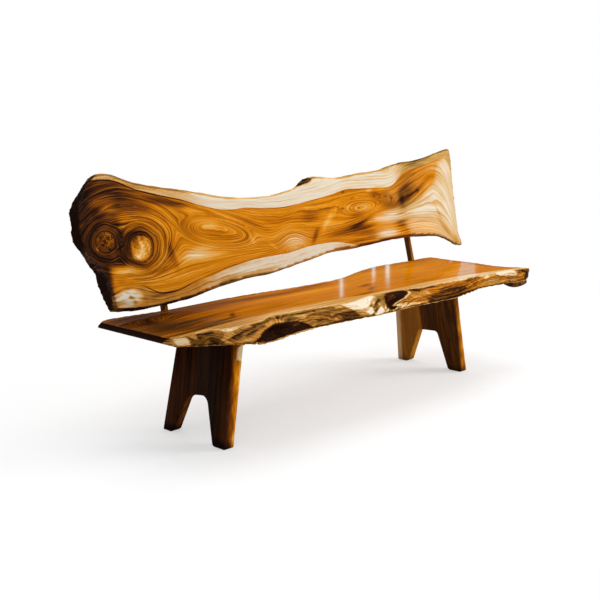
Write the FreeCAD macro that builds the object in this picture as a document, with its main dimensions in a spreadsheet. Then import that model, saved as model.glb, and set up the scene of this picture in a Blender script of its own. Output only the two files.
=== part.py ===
import FreeCAD, Part
import os
import re

import Sketcher

Vector = FreeCAD.Vector

# How near two places count as the same when an edge is looked up.
SAME_PLACE = 0.01
DOWELS_PER_LEG = 3
SEAT_SCREWS_PER_CLEAT = 3
BOLTS_PER_POST = 3
# A slab's outline is cut into edges that each span this many of its points.
SPANS_PER_EDGE = 4

# Driving dimensions in millimetres, angles in degrees: alias, value, meaning.
# X runs along the bench, -Y is its front, Z = 0 is the floor.
SIZES = [
    ("seat_height", 450, "floor to the seat's top face"),
    ("overrun", 30, "how far a cut runs past the wood"),
    ("housing_gap", 0.3, "play of wood let into wood"),
    ("screw_gap", 0.1, "play round a screw, bolt or dowel"),
    ("seat_length", 1854, "seat slab, end to end"),
    ("seat_depth", 430, "seat slab, nominal front line to rear line"),
    ("seat_thickness", 48, "seat slab, top to underside"),
    ("seat_offset", -90, "seat's middle, along X from the bench's middle"),
    ("seat_rear_flare", 55, "how far the rear live edge spreads at the underside"),
    ("seat_bevel_run", 60, "depth of the bevel under each sawn end"),
    ("seat_bevel_rise", 24, "height of the bevel under each sawn end"),
    ("burl_length", 70, "half length of the burl at the right front corner"),
    ("burl_reach", 58, "half depth of the burl"),
    ("burl_drop", 38, "half height of the burl"),
    ("burl_inset", 69, "burl's middle from the seat's right end"),
    ("burl_back", 75, "burl's middle ahead of the nominal front line"),
    ("hollow_length", 78, "half length of the hollow in the front edge"),
    ("hollow_reach", 46, "half depth of that hollow"),
    ("hollow_rise", 16, "half height of that hollow"),
    ("hollow_place", -505, "that hollow's middle, along X from the seat's middle"),
    ("hollow_ahead", 75, "that hollow's middle ahead of the nominal front line"),
    ("hollow_up", 22, "that hollow's middle above the seat's underside"),
    ("pocket_length", 66, "half length of the bark pocket in the front edge"),
    ("pocket_reach", 26, "half depth of the bark pocket"),
    ("pocket_rise", 17, "half height of the bark pocket"),
    ("pocket_place", 100, "bark pocket's middle, along X from the seat's middle"),
    ("pocket_ahead", 70, "bark pocket's middle ahead of the nominal front line"),
    ("pocket_down", 23, "bark pocket's middle below the seat's top face"),
    ("leg_foot_out", 702, "seat's middle to a leg's outer face at the floor"),
    ("leg_thickness", 40, "leg board, measured level"),
    ("leg_splay", 10.26, "lean of each leg, degrees"),
    ("leg_front", 158, "leg's front edge ahead of the bench's centre line"),
    ("leg_rear_foot", 213, "leg's rear edge at the floor"),
    ("leg_rear_top", 170, "leg's rear edge at its top"),
    ("leg_joint", 40, "glue joint between a leg's boards, behind the centre line"),
    ("housing_depth", 8, "how deep a leg's top is let into the seat"),
    ("foot_round", 7, "rounding of a foot's ends at the floor"),
    ("leg_edge_round", 6, "rounding of a leg's long edges"),
    ("left_arch_front_foot", 85, "left arch: front foot's heel ahead of the centre line"),
    ("left_arch_front_top", 28, "left arch: front corner ahead of the centre line"),
    ("left_arch_front_rise", 169, "left arch: height of its front corner"),
    ("left_arch_joint_rise", 160, "left arch: height at the glue joint"),
    ("left_arch_rear_top", 100, "left arch: rear corner behind the centre line"),
    ("left_arch_rear_rise", 138, "left arch: height of its rear corner"),
    ("left_arch_rear_foot", 155, "left arch: rear foot's toe behind the centre line"),
    ("left_arch_round", 36, "left arch: corner radius"),
    ("right_arch_front_foot", 84, "right arch: front foot's heel ahead of the centre line"),
    ("right_arch_front_top", 45, "right arch: front corner ahead of the centre line"),
    ("right_arch_front_rise", 177, "right arch: height of its front corner"),
    ("right_arch_joint_rise", 173, "right arch: height at the glue joint"),
    ("right_arch_rear_top", 66, "right arch: rear corner behind the centre line"),
    ("right_arch_rear_rise", 168, "right arch: height of its rear corner"),
    ("right_arch_rear_foot", 152, "right arch: rear foot's toe behind the centre line"),
    ("right_arch_round", 18, "right arch: corner radius"),
    ("dowel_width", 10, "dowel diameter"),
    ("dowel_length", 60, "dowel, end to end"),
    ("dowel_margin", 50, "end dowels from the arch below and from the leg's top"),
    ("cleat_width", 36, "cleat along X at the seat"),
    ("cleat_height", 36, "cleat, top to bottom"),
    ("cleat_length", 250, "cleat, front to rear"),
    ("cleat_front", 105, "cleat's front end ahead of the centre line"),
    ("cleat_screw_margin", 40, "cleat's front end to its first screw"),
    ("cleat_screw_pitch", 85, "one screw up into the seat to the next"),
    ("leg_screw_near", 35, "nearer screw into a leg board, from the glue joint"),
    ("leg_screw_far", 80, "further screw into a leg board, from the glue joint"),
    ("back_length", 2133, "back slab, end to end on its front face"),
    ("back_height", 500, "height that the back's outline shares, up its face"),
    ("back_thickness", 45, "back slab, front to rear"),
    ("back_offset", 8.5, "back slab's middle, along X from the bench's middle"),
    ("back_lean", 12.63, "lean of the back and the posts, degrees"),
    ("post_setback", 13, "posts' front face behind the seat's nominal rear line"),
    ("post_width", 18, "post along X"),
    ("post_depth", 24, "post, front to rear"),
    ("post_drop", 110, "post below the seat's top face, along its lean"),
    ("post_head", 40, "post above its highest bolt"),
    ("post_chamfer", 3, "chamfer round a post's top"),
    ("left_post_place", -644, "left post, along X from the seat's middle"),
    ("right_post_place", 797, "right post, along X from the seat's middle"),
    ("left_bolt_low", 110, "left post: lowest bolt above the seat, along the lean"),
    ("right_bolt_low", 190, "right post: lowest bolt above the seat, along the lean"),
    ("bolt_pitch", 90, "one bolt to the next, up a post"),
    ("bolt_shank", 6, "coach screw diameter"),
    ("bolt_length", 58, "coach screw below its head"),
    ("bolt_flats", 10, "coach screw head across flats"),
    ("bolt_head_height", 4, "coach screw head height"),
    ("washer_width", 16, "washer outer diameter"),
    ("washer_thickness", 1.6, "washer thickness"),
    ("wood_screw_shank", 4.5, "long wood screw diameter"),
    ("wood_screw_head", 9, "long wood screw head diameter"),
    ("wood_screw_sink", 3, "long wood screw head height"),
    ("wood_screw_length", 60, "long wood screw, end to end"),
    ("seat_screw_high", 17, "upper post screw below the seat's top, along the lean"),
    ("seat_screw_low", 14, "lower post screw above the seat's underside, along the lean"),
    ("bracket_width", 16, "bracket along X"),
    ("bracket_reach", 40, "each arm of a bracket"),
    ("bracket_thickness", 3, "bracket plate thickness"),
    ("bracket_screw_near", 14, "nearer bracket screw from the bend"),
    ("bracket_screw_far", 30, "further bracket screw from the bend"),
    ("plate_screw_shank", 4, "short screw diameter"),
    ("plate_screw_head", 7.6, "short screw head diameter"),
    ("plate_screw_sink", 2.2, "short screw head height"),
    ("plate_screw_length", 16, "short screw, end to end"),
]

# Heights and places that several pieces follow.
UNDERSIDE = "(seat_height - seat_thickness)"
LEG_TOP = "(seat_height - seat_thickness + housing_depth)"
SPLAY = "tan(leg_splay * 1deg)"
LEAN_SIN = "sin(back_lean * 1deg)"
LEAN_COS = "cos(back_lean * 1deg)"
BACK_PLANE = "(seat_depth / 2 + post_setback)"
FRONT_LINE = "(-seat_depth / 2)"
# Where the seat's underside meets the posts' front face.
BEND_DOWN = f"(seat_thickness / {LEAN_COS})"
BEND_Y = f"({BACK_PLANE} - {BEND_DOWN} * {LEAN_SIN})"

# The seat's outline, clockwise from the rear left corner, in shares of its length and depth.
# A row holds the point on the top face, then the one on the underside.
SEAT_REAR_SHARES = [
    (-0.501, 0.500), (-0.492, 0.570), (-0.465, 0.588), (-0.410, 0.552), (-0.330, 0.507),
    (-0.255, 0.505), (-0.169, 0.498), (-0.086, 0.453), (0.000, 0.398), (0.059, 0.381),
    (0.126, 0.386), (0.165, 0.435), (0.209, 0.502), (0.251, 0.553), (0.319, 0.591),
    (0.375, 0.574), (0.431, 0.549), (0.480, 0.545), (0.502, 0.516),
]
SEAT_RIGHT_SHARES = [
    (0.494, 0.140, 0.493, 0.186), (0.490, -0.140, 0.489, -0.116),
    (0.482, -0.372, 0.481, -0.372), (0.487, -0.581, 0.484, -0.570),
]
SEAT_FRONT_SHARES = [
    (0.495, -0.772, 0.488, -0.726), (0.475, -0.702, 0.464, -0.740),
    (0.439, -0.653, 0.426, -0.733), (0.388, -0.633, 0.393, -0.730),
    (0.334, -0.619, 0.345, -0.698), (0.286, -0.602, 0.302, -0.721),
    (0.237, -0.588, 0.248, -0.763), (0.189, -0.574, 0.200, -0.791),
    (0.145, -0.560, 0.156, -0.774), (0.123, -0.519, 0.121, -0.758),
    (0.062, -0.453, 0.059, -0.742), (0.002, -0.458, 0.005, -0.756),
    (-0.075, -0.526, -0.070, -0.721), (-0.120, -0.479, -0.116, -0.693),
    (-0.185, -0.414, -0.183, -0.672), (-0.227, -0.381, -0.232, -0.670),
    (-0.255, -0.379, -0.259, -0.700), (-0.299, -0.472, -0.302, -0.726),
    (-0.334, -0.486, -0.338, -0.740), (-0.361, -0.495, -0.372, -0.656),
    (-0.388, -0.449, -0.396, -0.565), (-0.422, -0.384, -0.423, -0.465),
    (-0.447, -0.433, -0.448, -0.372), (-0.500, -0.419, -0.500, -0.233),
]

# The back's outline, clockwise from its upper left corner, in shares of its length from its
# middle and of its height above the seat. A row holds the front face's point, then the rear's.
BACK_TOP_SHARES = [
    (-0.489, 0.900, -0.482, 0.925), (-0.474, 0.990, -0.464, 1.010),
    (-0.453, 1.035, -0.443, 1.060), (-0.428, 1.030, -0.422, 1.058),
    (-0.397, 0.976, -0.383, 0.999), (-0.328, 0.901, -0.313, 0.923),
    (-0.251, 0.836, -0.235, 0.857), (-0.187, 0.775, -0.170, 0.795),
    (-0.130, 0.752, -0.110, 0.770), (-0.075, 0.752, -0.060, 0.768),
    (-0.035, 0.772, -0.025, 0.786), (-0.005, 0.802, 0.004, 0.806),
    (0.027, 0.850, 0.030, 0.868), (0.109, 0.838, 0.115, 0.862),
    (0.186, 0.862, 0.190, 0.878), (0.250, 0.875, 0.258, 0.888),
    (0.300, 0.915, 0.309, 0.927), (0.353, 0.925, 0.360, 0.943),
    (0.388, 0.942, 0.400, 0.952), (0.440, 0.985, 0.452, 0.988),
    (0.499, 1.020, 0.499, 1.022),
]
BACK_RIGHT_SHARES = [
    (0.498, 0.920, 0.498, 0.920), (0.494, 0.800, 0.494, 0.800),
    (0.488, 0.610, 0.488, 0.610), (0.483, 0.410, 0.483, 0.410),
    (0.480, 0.250, 0.480, 0.250), (0.481, 0.150, 0.481, 0.150),
    (0.484, 0.105, 0.484, 0.105),
]
BACK_BOTTOM_SHARES = [
    (0.485, 0.062, 0.485, 0.064), (0.478, 0.051, 0.478, 0.074),
    (0.470, 0.054, 0.470, 0.094), (0.460, 0.069, 0.460, 0.116),
    (0.440, 0.112, 0.440, 0.156), (0.421, 0.154, 0.421, 0.184),
    (0.394, 0.192, 0.394, 0.197), (0.368, 0.209, 0.368, 0.208),
    (0.334, 0.226, 0.334, 0.220), (0.294, 0.237, 0.294, 0.225),
    (0.208, 0.229, 0.208, 0.217), (0.158, 0.219, 0.158, 0.207),
    (0.126, 0.216, 0.126, 0.204), (0.091, 0.220, 0.091, 0.208),
    (0.060, 0.214, 0.060, 0.202), (0.020, 0.190, 0.020, 0.178),
    (-0.031, 0.164, -0.031, 0.152), (-0.075, 0.140, -0.075, 0.128),
    (-0.118, 0.128, -0.118, 0.116), (-0.163, 0.127, -0.163, 0.115),
    (-0.198, 0.114, -0.198, 0.102), (-0.238, 0.097, -0.238, 0.085),
    (-0.276, 0.069, -0.276, 0.057), (-0.309, 0.052, -0.309, 0.040),
    (-0.342, 0.047, -0.342, 0.035), (-0.406, 0.043, -0.406, 0.031),
    (-0.436, 0.052, -0.436, 0.040), (-0.463, 0.072, -0.463, 0.058),
]
BACK_LEFT_SHARES = [
    (-0.460, 0.182, -0.474, 0.196), (-0.467, 0.268, -0.478, 0.284),
    (-0.473, 0.356, -0.480, 0.358), (-0.483, 0.418, -0.487, 0.408),
    (-0.496, 0.504, -0.497, 0.504), (-0.500, 0.570, -0.507, 0.575),
    (-0.500, 0.640, -0.508, 0.640), (-0.499, 0.716, -0.507, 0.716),
    (-0.497, 0.780, -0.506, 0.785), (-0.494, 0.840, -0.500, 0.845),
]

# Sections of a live edge: share of the slab's depth, then share of the outline's spread there.
SEAT_SECTION_SHARES = [(0.0, 0.0), (0.42, 0.6), (1.0, 1.0)]
BACK_SECTION_SHARES = [(0.0, 0.0), (0.5, 0.65), (1.0, 1.0)]

document = FreeCAD.newDocument("bench")
sheet = document.addObject("Spreadsheet::Sheet", "Sizes")
for row, (alias, value, meaning) in enumerate(SIZES, start=1):
    sheet.set(f"A{row}", meaning)
    sheet.set(f"B{row}", str(value))
    sheet.setAlias(f"B{row}", alias)
document.recompute()

ALIASES = {alias for alias, value, meaning in SIZES}


def formula(text):
    """Write an expression on the sheet's aliases as the document needs it."""
    return re.sub(
        r"[a-z]\w*",
        lambda word: "Sizes." + word[0] if word[0] in ALIASES else word[0],
        text,
    )


def number(text):
    """Work out an expression on the sheet's aliases now."""
    value = sheet.evalExpression(formula(text))
    return float(getattr(value, "Value", value))


def bind(thing, **sizes):
    """Bind properties of an object to expressions on the sheet."""
    for name, text in sizes.items():
        thing.setExpression(name, formula(text))
    return thing


def place(thing, x="0", y="0", z="0"):
    """Bind an object's position."""
    for letter, text in zip("xyz", (x, y, z)):
        thing.setExpression(f"Placement.Base.{letter}", formula(text))
    return thing


def turn(thing, axis, angle):
    """Turn an object about an axis by a bound angle in degrees."""
    thing.Placement = FreeCAD.Placement(Vector(), FreeCAD.Rotation(axis, 1))
    thing.setExpression("Placement.Rotation.Angle", formula(angle))
    return thing


def place_on_back(thing, x, rear, up):
    """Place an object in the leaning frame, whose origin is where the posts' front
    face meets the level of the seat's top."""
    return place(
        thing,
        x=x,
        y=f"{BACK_PLANE} + ({rear}) * {LEAN_COS} + ({up}) * {LEAN_SIN}",
        z=f"seat_height - ({rear}) * {LEAN_SIN} + ({up}) * {LEAN_COS}",
    )


def primitive(kind, name, **sizes):
    return bind(document.addObject(kind, name), **sizes)


def ellipsoid(name, along, deep, tall):
    return primitive("Part::Ellipsoid", name, Radius1=tall, Radius2=along, Radius3=deep)


def group(name, pieces):
    """Keep several separate solids together under one name."""
    together = document.addObject("Part::Compound", name)
    together.Links = pieces
    return together


def cut(name, base, *tools):
    """Cut one tool after another out of a piece."""
    for index, tool in enumerate(tools, start=1):
        result = document.addObject("Part::Cut", f"{name}_cut{index}")
        result.Base = base
        result.Tool = tool
        base = result
    return base


def polygons(body, name, role, *loops):
    """Sketch closed polygons, every corner held by its two bound distances."""
    sketch = body.newObject("Sketcher::SketchObject", name)
    plane = next(item for item in body.Origin.OriginFeatures if item.Role == role)
    sketch.AttachmentSupport = [(plane, "")]
    sketch.MapMode = "FlatFace"
    for corners in loops:
        first = sketch.GeometryCount
        spots = [Vector(number(across), number(up), 0) for across, up in corners]
        for start, end in zip(spots, spots[1:] + spots[:1]):
            sketch.addGeometry(Part.LineSegment(start, end))
        for index, corner in enumerate(corners):
            line = first + index
            following = first + (index + 1) % len(corners)
            sketch.addConstraint(Sketcher.Constraint("Coincident", line, 2, following, 1))
            for kind, text in zip(("DistanceX", "DistanceY"), corner):
                held = Sketcher.Constraint(kind, -1, 1, line, 1, number(text))
                place_of_constraint = sketch.addConstraint(held)
                sketch.setExpression(f"Constraints[{place_of_constraint}]", formula(text))
    return sketch


def pad(body, sketch, length, reverse=False, middle=False):
    feature = body.newObject("PartDesign::Pad", sketch.Name + "_pad")
    feature.Profile = sketch
    feature.Reversed = reverse
    feature.Midplane = middle
    return bind(feature, Length=length)


def pocket_through(body, sketch):
    """Cut a sketch right through its body, both ways."""
    feature = body.newObject("PartDesign::Pocket", sketch.Name + "_pocket")
    feature.Profile = sketch
    feature.Type = "ThroughAll"
    feature.Midplane = True
    return feature


def edges_between(feature, *ends):
    """Names of the edges that run between two spots of the side view, (y, z)."""
    document.recompute()
    wanted = sorted((number(y), number(z)) for y, z in ends)
    names = []
    for index, edge in enumerate(feature.Shape.Edges, start=1):
        spots = sorted((vertex.Y, vertex.Z) for vertex in edge.Vertexes)
        if len(spots) == 2 and all(
            abs(a - b) < SAME_PLACE for one, two in zip(spots, wanted) for a, b in zip(one, two)
        ):
            names.append(f"Edge{index}")
    return names


def edges_near_line(feature, low, high):
    """Names of the long edges that lie along a line of the side view, from (y, z) to (y, z)."""
    y0, z0, y1, z1 = (number(text) for text in low + high)
    names = []
    for index, edge in enumerate(feature.Shape.Edges, start=1):
        spots = [(vertex.Y, vertex.Z) for vertex in edge.Vertexes]
        if len(spots) == 2 and abs(spots[0][1] - spots[1][1]) > (z1 - z0) / 2 and all(
            abs((y - y0) * (z1 - z0) - (z - z0) * (y1 - y0)) < SAME_PLACE * (z1 - z0)
            for y, z in spots
        ):
            names.append(f"Edge{index}")
    return names


def soften(body, kind, feature, names, size):
    """Fillet or chamfer some edges of a body's last feature."""
    if not names:
        raise RuntimeError(f"{body.Name}: no edge to soften")
    softened = body.newObject(f"PartDesign::{kind}", f"{feature.Name}_{kind.lower()}")
    softened.Base = (feature, names)
    return bind(softened, **{"Radius" if kind == "Fillet" else "Size": size})


def curve(points):
    """Edges of one smooth curve through the points, cut at every few of them."""
    spline = Part.BSplineCurve()
    spline.interpolate(points)
    marks = [spline.parameter(point) for point in points]
    cuts = marks[:-1:SPANS_PER_EDGE] + marks[-1:]
    edges = []
    for start, end in zip(cuts, cuts[1:]):
        piece = spline.copy()
        piece.segment(start, end)
        edges.append(piece.toShape())
    return edges


def slab_shape(sides, sections, length, height, depth):
    """Loft a slab through its outlines, from one face to the other. Each side is a list of
    rows of shares, and the sides follow each other round the outline."""
    wires = []
    for depth_share, spread_share in sections:
        edges = []
        for index, side in enumerate(sides):
            rows = side + [sides[(index + 1) % len(sides)][0]]
            points = []
            for x0, y0, x1, y1 in rows:
                x = x0 + (x1 - x0) * spread_share
                y = y0 + (y1 - y0) * spread_share
                points.append(Vector(x * length, y * height, depth_share * depth))
            edges += curve(points)
        wires.append(Part.Wire(edges))
    return Part.makeLoft(wires, True, False)


def screw(name, kind, gap="0"):
    """A countersunk screw along +Z, its head's face at the origin."""
    head = primitive(
        "Part::Cone",
        name + "_head",
        Radius1=f"{kind}_head / 2 + {gap}",
        Radius2=f"{kind}_shank / 2 + {gap}",
        Height=f"{kind}_sink",
    )
    shank = primitive(
        "Part::Cylinder",
        name + "_shank",
        Radius=f"{kind}_shank / 2 + {gap}",
        Height=f"{kind}_length + {gap}",
    )
    whole = document.addObject("Part::Fuse", name)
    whole.Base = head
    whole.Tool = shank
    return whole


def coach_screw(name):
    """A hexagon-headed screw along +Z, its head above the origin."""
    head = primitive(
        "Part::Prism",
        name + "_head",
        Circumradius="bolt_flats / 2 / cos(30deg)",
        Height="bolt_head_height",
    )
    place(head, z="-bolt_head_height")
    shank = primitive(
        "Part::Cylinder", name + "_shank", Radius="bolt_shank / 2", Height="bolt_length"
    )
    whole = document.addObject("Part::Fuse", name)
    whole.Base = head
    whole.Tool = shank
    return whole


def bore(name, width, length):
    """A plain round hole along +Z, to be cut out of a piece."""
    return primitive(
        "Part::Cylinder", name, Radius=f"{width} / 2 + screw_gap", Height=f"{length} + screw_gap"
    )


def washer(name):
    """A flat ring on the origin's plane, towards +Z."""
    disc = primitive(
        "Part::Cylinder", name + "_disc", Radius="washer_width / 2", Height="washer_thickness"
    )
    return cut(name, disc, bore(name + "_bore", "bolt_shank", "washer_thickness"))


def fastened(name, kind, spots):
    """Screws at several spots, and the holes that take them. A spot is a function that
    turns and places whatever it is given."""
    screws = []
    holes = []
    for index, spot in enumerate(spots, start=1):
        screws.append(spot(screw(f"{name}_{index}", kind)))
        holes.append(spot(screw(f"{name}_hole_{index}", kind, gap="screw_gap")))
    return group(name, screws), group(name + "_holes", holes)


def upward(x, y, z):
    return lambda thing: place(thing, x, y, z)


def sideways(side, x, y, z):
    return lambda thing: place(turn(thing, Vector(0, 1, 0), f"{side} * 90"), x, y, z)


def forward_on_back(x, rear, up):
    return lambda thing: place_on_back(
        turn(thing, Vector(1, 0, 0), "90 - back_lean"), x, rear, up
    )


def rearward_on_back(x, rear, up):
    return lambda thing: place_on_back(
        turn(thing, Vector(1, 0, 0), "-90 - back_lean"), x, rear, up
    )


def leg_inner_x(side, height):
    """Where a leg's inner face is at a height above the floor."""
    return f"seat_offset + {side} * (leg_foot_out - leg_thickness - {SPLAY} * ({height}))"


def make_leg_board(name, side, outline, long_edge, arch_corner, arch_round, foot_corners):
    """One board of a leg: its side view is padded outwards from the leg's innermost line,
    then both faces are sawn to the splay."""
    run = f"{SPLAY} * {LEG_TOP}"
    body = document.addObject("PartDesign::Body", name)
    side_view = polygons(body, name + "_side_view", "YZ_Plane", outline)
    board = pad(body, side_view, f"leg_thickness + {run}", reverse=side < 0)
    corner = edges_between(board, arch_corner, arch_corner)
    board = soften(body, "Fillet", board, corner, arch_round)
    for spot in foot_corners:
        corner = edges_between(board, (spot, "0"), (spot, "0"))
        board = soften(body, "Chamfer", board, corner, "foot_round")
    inner_waste = [
        ("0", "0"),
        (f"{side} * {run}", "0"),
        ("0", LEG_TOP),
    ]
    outer_waste = [
        (f"{side} * leg_thickness", LEG_TOP),
        (f"{side} * (leg_thickness + {run})", "0"),
        (f"{side} * (leg_thickness + {run})", LEG_TOP),
    ]
    waste = polygons(body, name + "_splay", "XZ_Plane", inner_waste, outer_waste)
    board = pocket_through(body, waste)
    document.recompute()
    low, high = long_edge
    names = edges_near_line(board, low, high)
    soften(body, "Fillet", board, names, "leg_edge_round")
    return place(body, x=leg_inner_x(side, LEG_TOP))


def make_leg(word, side):
    """A leg's two boards, whose arch is shared between them."""
    arch = {
        key: f"{word}_arch_{key}"
        for key in (
            "front_foot",
            "front_top",
            "front_rise",
            "joint_rise",
            "rear_top",
            "rear_rise",
            "rear_foot",
            "round",
        )
    }
    front = make_leg_board(
        f"{word}_leg_front_board_blank",
        side,
        outline=[
            ("-leg_front", "0"),
            (f"-{arch['front_foot']}", "0"),
            (f"-{arch['front_top']}", arch["front_rise"]),
            ("leg_joint", arch["joint_rise"]),
            ("leg_joint", LEG_TOP),
            ("-leg_front", LEG_TOP),
        ],
        long_edge=(("-leg_front", "0"), ("-leg_front", LEG_TOP)),
        arch_corner=(f"-{arch['front_top']}", arch["front_rise"]),
        arch_round=arch["round"],
        foot_corners=["-leg_front", f"-{arch['front_foot']}"],
    )
    rear = make_leg_board(
        f"{word}_leg_rear_board_blank",
        side,
        outline=[
            ("leg_joint", arch["joint_rise"]),
            (arch["rear_top"], arch["rear_rise"]),
            (arch["rear_foot"], "0"),
            ("leg_rear_foot", "0"),
            ("leg_rear_top", LEG_TOP),
            ("leg_joint", LEG_TOP),
        ],
        long_edge=(("leg_rear_foot", "0"), ("leg_rear_top", LEG_TOP)),
        arch_corner=(arch["rear_top"], arch["rear_rise"]),
        arch_round=arch["round"],
        foot_corners=["leg_rear_foot", arch["rear_foot"]],
    )
    return front, rear


def make_dowels(word, side):
    """Dowels across a leg's glue joint, halfway through its thickness."""
    dowels = []
    holes = []
    lowest = f"({word}_arch_joint_rise + dowel_margin)"
    pitch = f"({LEG_TOP} - dowel_margin - {lowest}) / {DOWELS_PER_LEG - 1}"
    for index in range(DOWELS_PER_LEG):
        height = f"({lowest} + {index} * {pitch})"
        middle = f"{leg_inner_x(side, height)} + {side} * leg_thickness / 2"
        dowel = primitive(
            "Part::Cylinder",
            f"{word}_dowel_{index + 1}",
            Radius="dowel_width / 2",
            Height="dowel_length",
        )
        hole = primitive(
            "Part::Cylinder",
            f"{word}_dowel_hole_{index + 1}",
            Radius="dowel_width / 2 + screw_gap",
            Height="dowel_length + 2 * screw_gap",
        )
        for thing, end in ((dowel, "dowel_length / 2"), (hole, "dowel_length / 2 + screw_gap")):
            turn(thing, Vector(1, 0, 0), "90")
            place(thing, middle, f"leg_joint + {end}", height)
        dowels.append(dowel)
        holes.append(hole)
    return group(f"{word}_leg_dowels", dowels), group(f"{word}_dowel_holes", holes)


def make_cleat(word, side):
    """A batten in the corner between the seat's underside and a leg's inner face."""
    body = document.addObject("PartDesign::Body", f"{word}_cleat_blank")
    section = polygons(
        body,
        f"{word}_cleat_section",
        "XZ_Plane",
        [
            ("0", "0"),
            (f"-{side} * cleat_width", "0"),
            (f"-{side} * cleat_width", "-cleat_height"),
            (f"{side} * {SPLAY} * cleat_height", "-cleat_height"),
        ],
    )
    pad(body, section, "cleat_length", reverse=True)
    return place(body, x=leg_inner_x(side, UNDERSIDE), y="-cleat_front", z=UNDERSIDE)


def make_cleat_screws(word, side):
    inner = f"({leg_inner_x(side, UNDERSIDE)} - {side} * cleat_width)"
    into_seat = [
        upward(
            f"{inner} + {side} * cleat_width / 2",
            f"-cleat_front + cleat_screw_margin + {index} * cleat_screw_pitch",
            f"{UNDERSIDE} - cleat_height",
        )
        for index in range(SEAT_SCREWS_PER_CLEAT)
    ]
    into_leg = [
        sideways(side, inner, f"leg_joint + {step}", f"{UNDERSIDE} - cleat_height / 2")
        for step in ("-leg_screw_far", "-leg_screw_near", "leg_screw_near", "leg_screw_far")
    ]
    seat_screws = fastened(f"{word}_cleat_seat_screws", "wood_screw", into_seat)
    leg_screws = fastened(f"{word}_cleat_leg_screws", "wood_screw", into_leg)
    return seat_screws, leg_screws


def make_housing(word, side):
    """The shallow recess in the seat's underside that takes a leg's top."""
    outermost = f"leg_thickness + {SPLAY} * housing_depth + 2 * housing_gap"
    recess = primitive(
        "Part::Box",
        f"{word}_housing",
        Length=outermost,
        Width="leg_front + leg_rear_top + (leg_rear_foot - leg_rear_top)"
        f" * housing_depth / {LEG_TOP} + 2 * housing_gap",
        Height="housing_depth + overrun",
    )
    start = f"{leg_inner_x(side, LEG_TOP)} - {side} * housing_gap"
    if side < 0:
        start = f"{start} - ({outermost})"
    return place(recess, start, "-leg_front - housing_gap", f"{UNDERSIDE} - overrun")


def make_end_bevel(word, side):
    """The wedge sawn from under an end of the seat."""
    body = document.addObject("PartDesign::Body", f"{word}_end_bevel")
    end = f"{side} * (seat_length / 2 + seat_bevel_run)"
    wedge = polygons(
        body,
        f"{word}_end_bevel_view",
        "XZ_Plane",
        [
            (f"{side} * (seat_length / 2 - 2 * seat_bevel_run)", "-seat_bevel_rise"),
            (end, "2 * seat_bevel_rise"),
            (end, "-seat_bevel_rise"),
        ],
    )
    pad(body, wedge, "2 * seat_depth", middle=True)
    return place(body, x="seat_offset", z=UNDERSIDE)


def post_x(word):
    return f"seat_offset + {word}_post_place"


def make_post(word):
    """A square-edged post, chamfered at its top."""
    height = f"post_drop + {word}_bolt_low + 2 * bolt_pitch + post_head"
    body = document.addObject("PartDesign::Body", f"{word}_post_blank")
    section = polygons(
        body,
        f"{word}_post_section",
        "XY_Plane",
        [
            ("-post_width / 2", "0"),
            ("post_width / 2", "0"),
            ("post_width / 2", "post_depth"),
            ("-post_width / 2", "post_depth"),
        ],
    )
    post = pad(body, section, height)
    document.recompute()
    top = post.Shape.BoundBox.ZMax
    names = [
        f"Edge{index}"
        for index, edge in enumerate(post.Shape.Edges, start=1)
        if edge.BoundBox.ZMin > top - SAME_PLACE
    ]
    soften(body, "Chamfer", post, names, "post_chamfer")
    turn(body, Vector(1, 0, 0), "-back_lean")
    return place_on_back(body, post_x(word), "0", "-post_drop")


def make_notch(word):
    """The leaning notch in the seat's rear edge that takes a post."""
    notch = primitive(
        "Part::Box",
        f"{word}_notch",
        Length="post_width + 2 * housing_gap",
        Width="seat_depth / 2",
        Height="2 * (seat_thickness + overrun)",
    )
    turn(notch, Vector(1, 0, 0), "-back_lean")
    start = f"{post_x(word)} - post_width / 2 - housing_gap"
    return place_on_back(notch, start, "0", "-seat_thickness - overrun")


def make_bolts(word):
    """Coach screws and washers from behind a post, and the holes that take them."""
    bolts = []
    washers = []
    holes = []
    for index in range(BOLTS_PER_POST):
        up = f"{word}_bolt_low + {index} * bolt_pitch"
        outside = forward_on_back(post_x(word), "post_depth + washer_thickness", up)
        bolts.append(outside(coach_screw(f"{word}_bolt_{index + 1}")))
        washers.append(outside(washer(f"{word}_washer_{index + 1}")))
        holes.append(outside(bore(f"{word}_bolt_hole_{index + 1}", "bolt_shank", "bolt_length")))
    return (
        group(f"{word}_post_back_bolts", bolts),
        group(f"{word}_post_washers", washers),
        group(f"{word}_bolt_holes", holes),
    )


def make_post_seat_screws(word):
    spots = [
        forward_on_back(post_x(word), "post_depth", height)
        for height in ("-seat_screw_high", f"seat_screw_low - {BEND_DOWN}")
    ]
    return fastened(f"{word}_post_seat_screws", "wood_screw", spots)


def make_bracket(word):
    """An angle plate in the corner between the seat's underside and a post's front face."""
    inner_bend = f"-bracket_thickness * (1 + {LEAN_SIN}) / {LEAN_COS}"
    tip_y = f"-bracket_reach * {LEAN_SIN}"
    tip_z = f"-bracket_reach * {LEAN_COS}"
    body = document.addObject("PartDesign::Body", f"{word}_bracket_blank")
    section = polygons(
        body,
        f"{word}_bracket_section",
        "YZ_Plane",
        [
            ("0", "0"),
            ("-bracket_reach", "0"),
            ("-bracket_reach", "-bracket_thickness"),
            (inner_bend, "-bracket_thickness"),
            (
                f"{tip_y} - bracket_thickness * {LEAN_COS}",
                f"{tip_z} + bracket_thickness * {LEAN_SIN}",
            ),
            (tip_y, tip_z),
        ],
    )
    pad(body, section, "bracket_width", middle=True)
    return place(body, post_x(word), BEND_Y, UNDERSIDE)


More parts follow.
